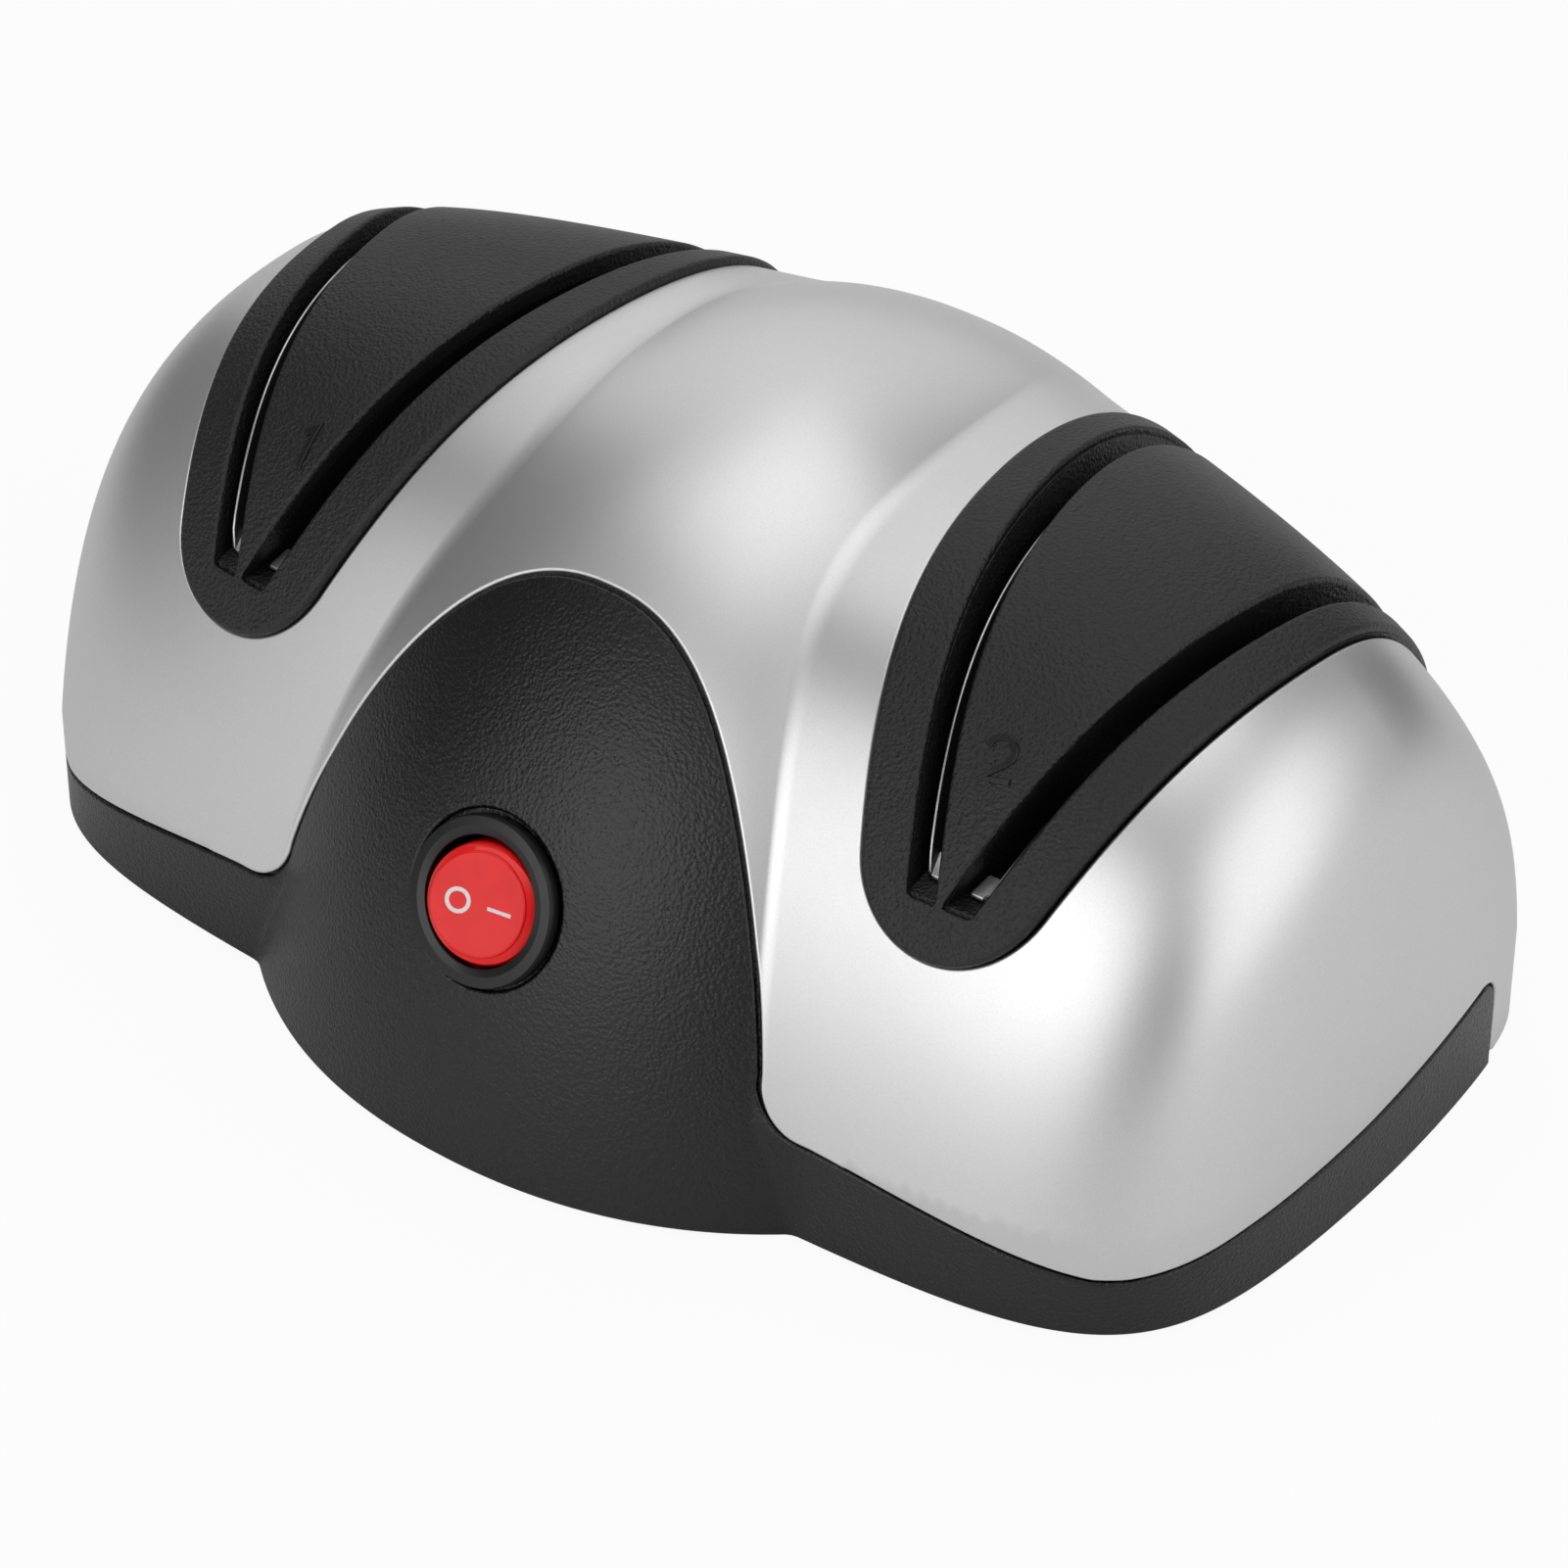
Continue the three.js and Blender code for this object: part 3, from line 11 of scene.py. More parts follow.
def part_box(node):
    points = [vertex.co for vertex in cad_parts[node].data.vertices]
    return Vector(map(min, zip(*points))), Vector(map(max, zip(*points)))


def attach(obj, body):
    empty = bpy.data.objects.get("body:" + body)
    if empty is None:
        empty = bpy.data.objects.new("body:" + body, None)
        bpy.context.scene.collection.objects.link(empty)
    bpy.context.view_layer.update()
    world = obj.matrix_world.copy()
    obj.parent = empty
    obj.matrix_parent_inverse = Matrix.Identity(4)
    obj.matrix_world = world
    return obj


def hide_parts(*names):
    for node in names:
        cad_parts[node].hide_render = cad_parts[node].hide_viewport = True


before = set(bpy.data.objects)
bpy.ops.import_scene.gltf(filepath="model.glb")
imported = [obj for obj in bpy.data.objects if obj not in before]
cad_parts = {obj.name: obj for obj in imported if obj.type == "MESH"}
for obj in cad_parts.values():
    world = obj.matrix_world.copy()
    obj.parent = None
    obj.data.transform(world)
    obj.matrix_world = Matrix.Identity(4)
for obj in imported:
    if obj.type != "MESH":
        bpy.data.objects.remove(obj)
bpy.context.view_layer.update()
print("frame: loaded", len(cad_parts), "nodes")

# Shapes are worked out in the casing's own millimetres, where the shaft's axis is at y 3, z 38
shaft = {"y": 3, "z": 38}
shaftLow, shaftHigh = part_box("motor_shaft")
shift = np.array([
    0,
    (shaftLow.y + shaftHigh.y) / 2 - shaft["y"] / 1000,
    (shaftLow.z + shaftHigh.z) / 2 - shaft["z"] / 1000,
])


def toFrame(points):
    return np.asarray(points, float) / 1000 + shift


def framePoint(*place):
    return tuple(toFrame([place])[0].tolist())


# One node: its settings first, then its inputs, each a value, a socket or a list of sockets
def addNode(tree, kind, inputs=None, output=0, **settings):
    node = tree.nodes.new(kind)
    for key, value in settings.items():
        setattr(node, key, value)
    for key, value in (inputs or {}).items():
        feed(tree, node.inputs[key], value)
    return node.outputs[output]


def feed(tree, socket, value):
    for source in value if isinstance(value, list) else [value]:
        source = getattr(source, "socket", source)
        if isinstance(source, bpy.types.NodeSocket):
            tree.links.new(source, socket)
        else:
            socket.default_value = source


# Shader helpers: a value is one socket, and arithmetic on it adds Math nodes
class Value:
    def __init__(self, finish, socket):
        self.finish = finish
        self.socket = socket

    def maths(self, operation, first, second):
        return self.finish.add("ShaderNodeMath", {0: first, 1: second}, operation=operation)

    def __add__(self, other):
        return self.maths("ADD", self, other)

    def __radd__(self, other):
        return self.maths("ADD", other, self)

    def __sub__(self, other):
        return self.maths("SUBTRACT", self, other)

    def __rsub__(self, other):
        return self.maths("SUBTRACT", other, self)

    def __mul__(self, other):
        return self.maths("MULTIPLY", self, other)

    def __rmul__(self, other):
        return self.maths("MULTIPLY", other, self)

    def between(self, low, high):
        inputs = {"Value": self, "From Min": low, "From Max": high}
        return self.finish.add("ShaderNodeMapRange", inputs, interpolation_type="SMOOTHSTEP")


class Finish:
    def __init__(self, name, **fixed):
        self.material = bpy.data.materials.new(name)
        self.material.use_nodes = True
        self.tree = self.material.node_tree
        self.shader = self.tree.nodes["Principled BSDF"]
        for socket, value in fixed.items():
            self.shader.inputs[socket.replace("_", " ")].default_value = value
        self.coords = self.add("ShaderNodeTexCoord", output="Object")

    def add(self, kind, inputs=None, output=0, **settings):
        return Value(self, addNode(self.tree, kind, inputs, output, **settings))

    def noise(self, size, detail, roughness=0.5):
        inputs = {"Vector": self.coords, "Scale": 1 / size, "Detail": detail, "Roughness": roughness}
        return self.add("ShaderNodeTexNoise", inputs)

    def cells(self, size, feature="F1"):
        return self.add("ShaderNodeTexVoronoi", {"Vector": self.coords, "Scale": 1 / size}, feature=feature)

    # Colour from one to the other of two by a share, then roughness, then a relief where there is one
    def made(self, share, colours, rough, height=None, depth=0.0, strength=1.0):
        blend = self.add("ShaderNodeMix", {0: share, 6: colours[0], 7: colours[1]}, 2, data_type="RGBA")
        feed(self.tree, self.shader.inputs["Base Color"], blend)
        feed(self.tree, self.shader.inputs["Roughness"], rough)
        if height:
            bump = self.add("ShaderNodeBump", {"Height": height, "Distance": depth, "Strength": strength})
            feed(self.tree, self.shader.inputs["Normal"], bump)
        return self.material


def grey(level):
    return (level, level, level, 1)


# Finishes, with sizes of grain and depths of relief in metres
def silverPaint():
    finish = Finish("silver paint", Metallic=1.0)
    flake = finish.cells(0.00022)
    cloud = finish.noise(0.018, 3)
    share = flake.between(0.1, 0.9) * 0.35 + cloud * 0.3
    rough = cloud * 0.04 + flake * 0.04 + 0.37
    height = finish.noise(0.00045, 2) * 0.6 + flake * 0.4
    return finish.made(share, (grey(0.78), grey(0.66)), rough, height, 0.000012, 0.6)


def mouldedPlastic(name, level, grain, depth, rough, strength):
    finish = Finish(name, Specular_IOR_Level=0.5)
    pits = finish.cells(grain, "SMOOTH_F1")
    fine = finish.noise(grain * 0.6, 3, 0.6)
    cloud = finish.noise(0.025, 3)
    surface = pits * 0.6 + fine * 0.4
    return finish.made(cloud.between(0.3, 0.7), (grey(level * 0.85), grey(level * 1.15)),
                       surface * 0.16 + cloud * 0.08 + (rough - 0.1), surface, depth, strength)


def redPlastic():
    finish = Finish("red switch plastic", Specular_IOR_Level=0.35)
    cloud = finish.noise(0.006, 2)
    return finish.made(cloud.between(0.3, 0.7), ((0.8, 0.009, 0.01, 1), (0.88, 0.014, 0.014, 1)),
                       cloud * 0.08 + 0.22, finish.noise(0.0011, 2), 0.00001, 0.3)


def whitePrint():
    finish = Finish("white print")
    speck = finish.noise(0.0002, 2)
    colours = ((0.85, 0.8, 0.8, 1), (0.74, 0.66, 0.66, 1))
    return finish.made(speck.between(0.35, 0.7), colours, speck * 0.2 + 0.35)


def metal(name, colour, rough, size, stretch=(1, 1, 1)):
    finish = Finish(name, Metallic=1.0)
    finish.coords = finish.add("ShaderNodeMapping", {"Vector": finish.coords, "Scale": stretch})
    grain = finish.noise(size, 4, 0.6)
    stain = finish.noise(size * 22, 3)
    dark = tuple(c * 0.78 for c in colour) + (1,)
    return finish.made(stain.between(0.3, 0.75), (colour + (1,), dark),
                       grain * 0.18 + stain * 0.12 + (rough - 0.12), grain, 0.00001, 0.5)


def gritStone(name, light, dark, grain):
    finish = Finish(name)
    grains = finish.cells(grain)
    speck = finish.noise(grain * 2.2, 3, 0.7)
    return finish.made(grains.between(0.1, 0.8), (light, dark), speck * 0.3 + 0.6,
                       grains * 0.6 + speck * 0.5, grain * 0.25)


def plainPart(name, first, second, size, rough):
    finish = Finish(name)
    spots = finish.noise(size, 3, 0.6)
    return finish.made(spots.between(0.3, 0.7), (first + (1,), second + (1,)),
                       spots * 0.2 + (rough - 0.1), spots, 0.00003, 0.5)


finishes = {
    "silver": silverPaint(),
    "dome": mouldedPlastic("black moulded plastic", 0.004, 0.0005, 0.00017, 0.28, 1.0),
    "module": mouldedPlastic("black spark grain", 0.005, 0.0005, 0.0003, 0.4, 1.0),
    "switchBlack": mouldedPlastic("black switch plastic", 0.005, 0.0009, 0.00001, 0.3, 0.3),
    "switchRed": redPlastic(),
    "print": whitePrint(),
    "steel": metal("bright steel", (0.62, 0.62, 0.63), 0.28, 0.0004, (1, 6, 1)),
    "zinc": metal("zinc plate", (0.6, 0.6, 0.57), 0.36, 0.0008),
    "copper": metal("enamelled copper", (0.72, 0.27, 0.1), 0.3, 0.0003),
    "bronze": metal("sintered bronze", (0.55, 0.35, 0.14), 0.5, 0.0002),
    "lamination": metal("stamped core", (0.32, 0.32, 0.34), 0.42, 0.0003, (14, 1, 1)),
    "coarseGrit": gritStone("coarse grit", (0.3, 0.3, 0.31, 1), (0.09, 0.09, 0.1, 1), 0.00045),
    "fineGrit": gritStone("fine grit", (0.66, 0.63, 0.58, 1), (0.42, 0.4, 0.36, 1), 0.00025),
    "rubber": plainPart("black rubber", (0.02, 0.02, 0.02), (0.03, 0.03, 0.03), 0.0009, 0.72),
    "hubPlastic": plainPart("white nylon", (0.7, 0.69, 0.64), (0.62, 0.61, 0.57), 0.004, 0.42),
    "ferrite": plainPart("ferrite", (0.05, 0.05, 0.055), (0.08, 0.08, 0.085), 0.0006, 0.6),
    "carbon": plainPart("carbon", (0.03, 0.03, 0.03), (0.06, 0.06, 0.06), 0.0004, 0.5),
    "board": plainPart("green board", (0.01, 0.12, 0.04), (0.02, 0.17, 0.06), 0.002, 0.35),
    "capacitor": plainPart("yellow epoxy", (0.72, 0.5, 0.06), (0.65, 0.42, 0.04), 0.003, 0.3),
    "resin": plainPart("black resin", (0.015, 0.015, 0.017), (0.03, 0.03, 0.03), 0.0005, 0.45),
    "wireBrown": plainPart("brown wire", (0.12, 0.045, 0.02), (0.16, 0.06, 0.03), 0.002, 0.4),
    "wireBlue": plainPart("blue wire", (0.02, 0.08, 0.35), (0.03, 0.11, 0.45), 0.002, 0.4),
}
print("finishes:", len(finishes))


# Casing surface: each level is 1 on the surface and less inside
casing = {
    "halfLength": 101.2, "endBow": 5.3, "endBowDepth": 50, "endLean": 0.015,
    "crown": 87.4, "shoulder": 15.8, "ridgeY": 7.7,
    "frontDepth": 64.2, "backDepth": 69.9, "frontTaper": 0.038, "backTaper": 0.215, "topTaper": 0.349,
    "rearReach": 61.5, "rearTaper": 0.127, "lean": 0.269,
    "lengthPower": 4.1, "frontPower": 2.19, "backPower": 2, "cornerPower": 6.9, "rearPower": 12,
    "creaseShare": 0.009, "soften": 8, "leastDepth": 0.01,
}
hump = {
    "halfWidth": 73, "depth": 79.3, "centreY": 7.1, "rise": 109.8, "sink": 23.5,
    "rearReach": 64.4, "planPower": 2.16, "risePower": 2.04, "rearPower": 12,
}
spread = np.array([casing["halfLength"], casing["rearReach"], casing["crown"]])


def softMost(a, b, power):
    return (np.abs(a) ** power + np.abs(b) ** power) ** (1 / power)


def casingLevel(p):
    c = casing
    x, y, z = np.abs(p[:, 0]), p[:, 1], p[:, 2]
    x = np.where(x < c["soften"], x * x / c["soften"] / 2 + c["soften"] / 2, x)
    rise = np.maximum(z - c["shoulder"], 0) / (c["crown"] - c["shoulder"])
    climb = np.minimum(rise, 1)
    front = y < c["ridgeY"]
    frontDepth = (c["frontDepth"] - c["frontTaper"] * x) * (1 - c["lean"] * climb)
    backDepth = c["backDepth"] - (c["backTaper"] + c["topTaper"] * climb) * x
    backDepth = np.maximum(backDepth, c["leastDepth"])
    across = np.abs(y - c["ridgeY"]) / np.where(front, frontDepth, backDepth)
    reach = c["halfLength"] * (1 - c["endLean"] * climb)
    along = softMost((x + c["endBow"] * (y / c["endBowDepth"]) ** 2) / reach, rise, c["lengthPower"])
    power = np.where(front, c["frontPower"], c["backPower"])
    loaf = softMost(along, softMost(across, rise, power), c["cornerPower"])
    return softMost(loaf, np.maximum(y, 0) / (c["rearReach"] - c["rearTaper"] * x), c["rearPower"])


def humpLevel(p):
    h = hump
    plan = softMost(p[:, 0] / h["halfWidth"], (p[:, 1] - h["centreY"]) / h["depth"], h["planPower"])
    mound = softMost(plan, np.maximum(p[:, 2] + h["sink"], 0) / h["rise"], h["risePower"])
    return softMost(mound, np.maximum(p[:, 1], 0) / h["rearReach"], h["rearPower"])


def bodyLevel(p):
    loaf, mound = casingLevel(p), humpLevel(p)
    soft = casing["creaseShare"]
    near = np.maximum(soft - np.abs(loaf - mound), 0) / soft
    return np.minimum(loaf, mound) - near * near * soft / 4


def bodyNormal(p, step=0.05):
    slope = np.empty_like(p)
    for axis in range(3):
        move = np.zeros(3)
        move[axis] = step
        slope[:, axis] = bodyLevel(p + move) - bodyLevel(p - move)
    return slope / np.linalg.norm(slope, axis=1)[:, None]


# The skin is laid out flat: distance from the middle is the angle from straight up
def wayOf(flat):
    climb = np.hypot(flat[:, 0], flat[:, 1])
    unit = flat / np.maximum(climb, 1e-9)[:, None]
    return np.column_stack([unit * np.sin(climb)[:, None], np.cos(climb)]) * spread


def flatOf(points):
    way = points / spread
    way = way / np.linalg.norm(way, axis=1)[:, None]
    plan = np.hypot(way[:, 0], way[:, 1])
    return way[:, :2] / np.maximum(plan, 1e-9)[:, None] * np.arctan2(plan, way[:, 2])[:, None]


# The skin's place along a ray is found by halving, between two shares of the casing's size
ray = {"near": 0.4, "far": 1.6, "rounds": 30}


def skinAt(flat, lift=0.0, rounds=ray["rounds"]):
    way = wayOf(flat)
    near, far = np.full(len(flat), ray["near"]), np.full(len(flat), ray["far"])
    for _ in range(rounds):
        half = (near + far) / 2
        inside = bodyLevel(way * half[:, None]) < 1
        near = np.where(inside, half, near)
        far = np.where(inside, far, half)
    points = way * near[:, None]
    normals = bodyNormal(points)
    return points + lift * normals, normals


# Zones: distances in mm from the parting lines and openings, negative inside
arch = {
    "footHalfWidth": 41, "crown": 71.6, "footRadius": 7, "backY": -22,
    "sidePower": 2.27, "risePower": 1.42,
}
seam = {
    "besideDome": 15.8, "frontCorner": 9.2, "domeEdgeX": 49, "cornerX": 88, "dipPower": 1.3,
    "endFrontY": -44, "endRiseY": -28, "endRise": 11.3, "endMiddleY": -3, "endMiddle": 12.9,
    "endBackY": 31, "endBack": 16, "endRadius": 5, "rearLift": 1.6, "gap": 0.35,
    "lowest": -0.03, "below": -20, "beyond": 130, "beyondFront": -120,
}
guide = {
    "centreX": 58.6, "proud": 1.2, "gap": 0.35, "tip": 45.3, "tipAtY": -48, "tipDrop": 0.152,
    "halfWidth": 14.6, "widthAtY": -35, "widthAtHeight": 56.5, "widen": 0.1, "flare": 0.318,
    "wall": 1.6, "rimDepth": 2.6, "insideLift": 0.3,
}
slot = {
    "width": 4.4, "offset": 11, "offsetHeight": 60, "yaw": 0.155, "lean": 0.25,
    "floor": 51.6, "corner": 0.5, "lip": 0.65, "tipLip": 0.25, "lipRun": 7, "wallDrop": 3,
}
switch = {
    "y": -60, "z": 36.3, "tilt": 25, "recess": 12.0, "recessX": -0.3, "recessDepth": 1.1,
    "lip": 0.6, "reach": 25,
}
gland = {
    "z": 13, "neck": 9, "bore": 6.4, "flange": 13, "innerFlange": 11.4, "gap": 0.3, "lip": 0.3,
    "inside": (59.6, 61.2), "outside": (64.7, 66.9), "columns": 72,
}
# Distance given to points on a side of the casing that an opening isn't on
elsewhere = 50.0


# Points inside closed lines: each edge that passes to the right of a point turns its answer over
def insideLines(points, lines):
    inside = np.zeros(len(points), bool)
    for line in lines:
        for a, b in zip(line, np.roll(line, -1, axis=0)):
            if a[1] != b[1]:
                crosses = (a[1] > points[:, 1]) != (b[1] > points[:, 1])
                edge = b - a
                inside ^= crosses & (points[:, 0] < a[0] + edge[0] * (points[:, 1] - a[1]) / edge[1])
    return inside


def outlineDistance(points, outline):
    best = np.full(len(points), np.inf)
    for a, b in zip(outline, np.roll(outline, -1, axis=0)):
        edge = b - a
        gone = points - a
        share = np.clip((gone @ edge) / (edge @ edge), 0, 1)
        best = np.minimum(best, ((gone - share[:, None] * edge) ** 2).sum(1))
    return np.sqrt(best) * np.where(insideLines(points, [outline]), -1, 1)


def archOutline():
    foot = seam["besideDome"]
    half, height, flare = arch["footHalfWidth"], arch["crown"] - foot, arch["footRadius"]
    sideX = half * (1 - (flare / height) ** arch["risePower"]) ** (1 / arch["sidePower"])
    turn = np.linspace(0, math.pi / 2, 12)[:-1]
    flared = np.column_stack([sideX + flare - flare * np.sin(turn), foot + flare - flare * np.cos(turn)])
    start = math.asin((flare / height) ** (arch["risePower"] / 2))
    turn = np.linspace(start, math.pi / 2, 44)
    rise = np.column_stack([
        half * np.maximum(np.cos(turn), 0) ** (2 / arch["sidePower"]),
        foot + height * np.sin(turn) ** (2 / arch["risePower"]),
    ])
    side = np.vstack([[[sideX + flare, seam["below"]]], flared, rise[:-1]])
    return np.vstack([side, [[0, foot + height]], side[::-1] * [-1, 1]])


def frontSeamOutline():
    share = np.linspace(0, 1, 14)
    x = seam["domeEdgeX"] + (seam["cornerX"] - seam["domeEdgeX"]) * share
    z = seam["besideDome"] - (seam["besideDome"] - seam["frontCorner"]) * share ** seam["dipPower"]
    end = [[seam["beyond"], seam["frontCorner"]], [seam["beyond"], seam["below"]]]
    side = np.vstack([np.column_stack([x, z]), end])
    return np.vstack([side[::-1] * [-1, 1], side])


def endSeamOutline():
    turn = np.linspace(0, math.pi / 2, 10)
    radius = seam["endRadius"]
    bend = np.column_stack([
        seam["endBackY"] - radius + radius * np.sin(turn),
        seam["endBack"] - radius + radius * np.cos(turn),
    ])
    rise = [
        [seam["beyondFront"], seam["below"]], [seam["beyondFront"], seam["frontCorner"]],
        [seam["endFrontY"], seam["frontCorner"]],
        [seam["endRiseY"], seam["endRise"]], [seam["endMiddleY"], seam["endMiddle"]],
    ]
    return np.vstack([rise, bend, [[seam["endBackY"], seam["below"]]]])


seamOutlines = [archOutline(), frontSeamOutline(), endSeamOutline()]


def baseDistance(p):
    dome = np.maximum(outlineDistance(p[:, [0, 2]], seamOutlines[0]), p[:, 1] - arch["backY"])
    front = np.maximum(outlineDistance(p[:, [0, 2]], seamOutlines[1]), p[:, 1])
    end = outlineDistance(p[:, [1, 2]], seamOutlines[2])
    return np.minimum(np.minimum(dome, front), end)


def moduleDistance(p, side):
    slant = math.hypot(1, guide["flare"])
    tip = guide["tip"] - guide["tipDrop"] * (p[:, 1] - guide["tipAtY"])
    atTip = (
        guide["halfWidth"] + guide["widen"] * (p[:, 1] - guide["widthAtY"])
        + guide["flare"] * (tip - guide["widthAtHeight"])
    )
    radius = atTip / (slant - guide["flare"])
    x = np.abs(p[:, 0] - side * guide["centreX"])
    z = p[:, 2] - tip - radius
    above = x * guide["flare"] + z > 0
    return np.where(above, (x - guide["flare"] * z) / slant, np.hypot(x, z)) - radius


def slotX(side, way, y, z, offset=0.0):
    lean = slot["lean"] * (z - slot["offsetHeight"])
    return side * guide["centreX"] + way * (slot["offset"] + slot["yaw"] * y + lean + offset)


def slotDistance(p, side, way):
    beside = np.abs(p[:, 0] - slotX(side, way, p[:, 1], p[:, 2])) - slot["width"] / 2
    below = slot["floor"] - p[:, 2]
    near = np.maximum(slot["corner"] - np.abs(beside - below), 0) / slot["corner"]
    return np.maximum(beside, below) + near * near * slot["corner"] / 4


tilt = math.radians(switch["tilt"])
switchAxes = np.array([
    [1, 0, 0], [0, math.sin(tilt), math.cos(tilt)], [0, -math.cos(tilt), math.sin(tilt)],
])
switchPlace = np.array([0, switch["y"], switch["z"]])


def switchDistance(p):
    local = (p - switchPlace) @ switchAxes.T
    away = np.hypot(local[:, 0] - switch["recessX"], local[:, 1]) - switch["recess"]
    return np.where(local[:, 2] > -switch["reach"], away, elsewhere)


def glandDistance(p):
    away = np.hypot(p[:, 0], p[:, 2] - gland["z"]) - gland["neck"] / 2 - gland["gap"]
    return np.where(p[:, 1] > 0, away, elsewhere)


# Closed lines on the flat layout where a distance is nought, with its positive side on the left
layout = {"reach": 1.62, "steps": 400, "rounds": 16, "spacing": 0.8, "fewest": 24, "nudge": 1e-4}
gridLine = np.linspace(-layout["reach"], layout["reach"], layout["steps"] + 1)
gridFlat = np.stack(np.meshgrid(gridLine, gridLine, indexing="ij"), -1).reshape(-1, 2)
gridSkin, gridNormals = skinAt(gridFlat, rounds=layout["rounds"])
gridStep = gridLine[1] - gridLine[0]


def traceLines(distance, lift=0.0):
    values = distance(gridSkin + lift * gridNormals).reshape(len(gridLine), -1)
    positive = values > 0
    total = (
        positive[:-1, :-1].astype(int) + positive[1:, :-1] + positive[:-1, 1:] + positive[1:, 1:]
    )
    follow = {}
    for i, j in zip(*np.nonzero((total > 0) & (total < 4))):
        corners = [(i, j), (i + 1, j), (i + 1, j + 1), (i, j + 1)]
        state = [positive[c] for c in corners]
        edge = [tuple(sorted((corners[k], corners[(k + 1) % 4]))) for k in range(4)]
        for k in range(4):
            if state[k] and not state[(k + 1) % 4]:
                back = k - 1
                while state[back % 4] or not state[(back + 1) % 4]:
                    back -= 1
                follow[edge[k]] = edge[back % 4]
    lines = []
    while follow:
        at = next(iter(follow))
        line = []
        while at in follow:
            (i, j), (k, m) = at
            share = values[i, j] / (values[i, j] - values[k, m])
            step = share * gridStep
            line.append([gridLine[i] + (k - i) * step, gridLine[j] + (m - j) * step])
            at = follow.pop(at)
        lines.append(settle(np.array(line), distance, lift))
    return lines


# The line is drawn onto the nought of its distance, then spaced evenly, twice over
def settle(line, distance, lift):
    nudge = layout["nudge"]
    for _ in range(2):
        for _ in range(3):
            value = distance(skinAt(line, lift)[0])
            slope = np.column_stack([
                distance(skinAt(line + move, lift)[0]) - value for move in ([nudge, 0], [0, nudge])
            ]) / nudge
            line = line - (value / (slope ** 2).sum(1))[:, None] * slope
        points = skinAt(line, lift)[0]
        lengths = np.linalg.norm(np.roll(points, -1, axis=0) - points, axis=1)
        along = np.concatenate([[0], np.cumsum(lengths)])
        closed = np.vstack([line, line[:1]])
        count = max(layout["fewest"], int(along[-1] / layout["spacing"]))
        at = np.linspace(0, along[-1], count + 1)[:-1]
        line = np.column_stack([np.interp(at, along, closed[:, k]) for k in range(2)])
    return line


def sidewards(points, normals):
    tangents = np.roll(points, -1, axis=0) - np.roll(points, 1, axis=0)
    out = np.cross(tangents, normals)
    return out / np.linalg.norm(out, axis=1)[:, None]


class Rim:
    # One edge of a skin: its line, how it rounds over, and how it goes down
    def __init__(self, line, lift, radius, depth, down=None):
        points, normals = skinAt(line, lift)
        self.radius = radius(points) if callable(radius) else np.full((len(line), 1), radius)
        out = sidewards(points, normals)
        self.flat = flatOf(skinAt(line)[0] - out * self.radius)
        self.points, self.normals = skinAt(self.flat, lift)
        self.out = sidewards(self.points, self.normals)
        self.depth = depth
        self.down = down

    def rings(self, steps=5):
        made = []
        centre = self.points - self.radius * self.normals
        for turn in np.linspace(0, math.pi / 2, steps + 1)[1:]:
            normal = self.normals * math.cos(turn) + self.out * math.sin(turn)
            made.append((centre + self.radius * normal, normal))
        start = made[-1][0]
        end = self.down(start) if self.down else start - self.normals * (self.depth - self.radius)
        made.append((end, self.out))
        return made


# Skins: thickness, fineness of the grid, rounding of edges, and what the grid keeps clear of them
skins = {
    "depth": 1.4, "coverDepth": 2.6, "fine": 0.016, "moduleFine": 0.009, "lip": 0.5, "rimLip": 1.0,
    "creaseGap": 0.004, "edgeShare": 0.55, "gridShare": 0.5, "baseInsideLift": -0.9,
}


def treeOf(points):
    tree = KDTree(len(points))
    for i, (a, b) in enumerate(points):
        tree.insert((a, b, 0), i)
    tree.balance()
    return tree


def farFrom(tree, points, distance):
    return np.array([tree.find((a, b, 0))[2] > distance for a, b in points], bool)


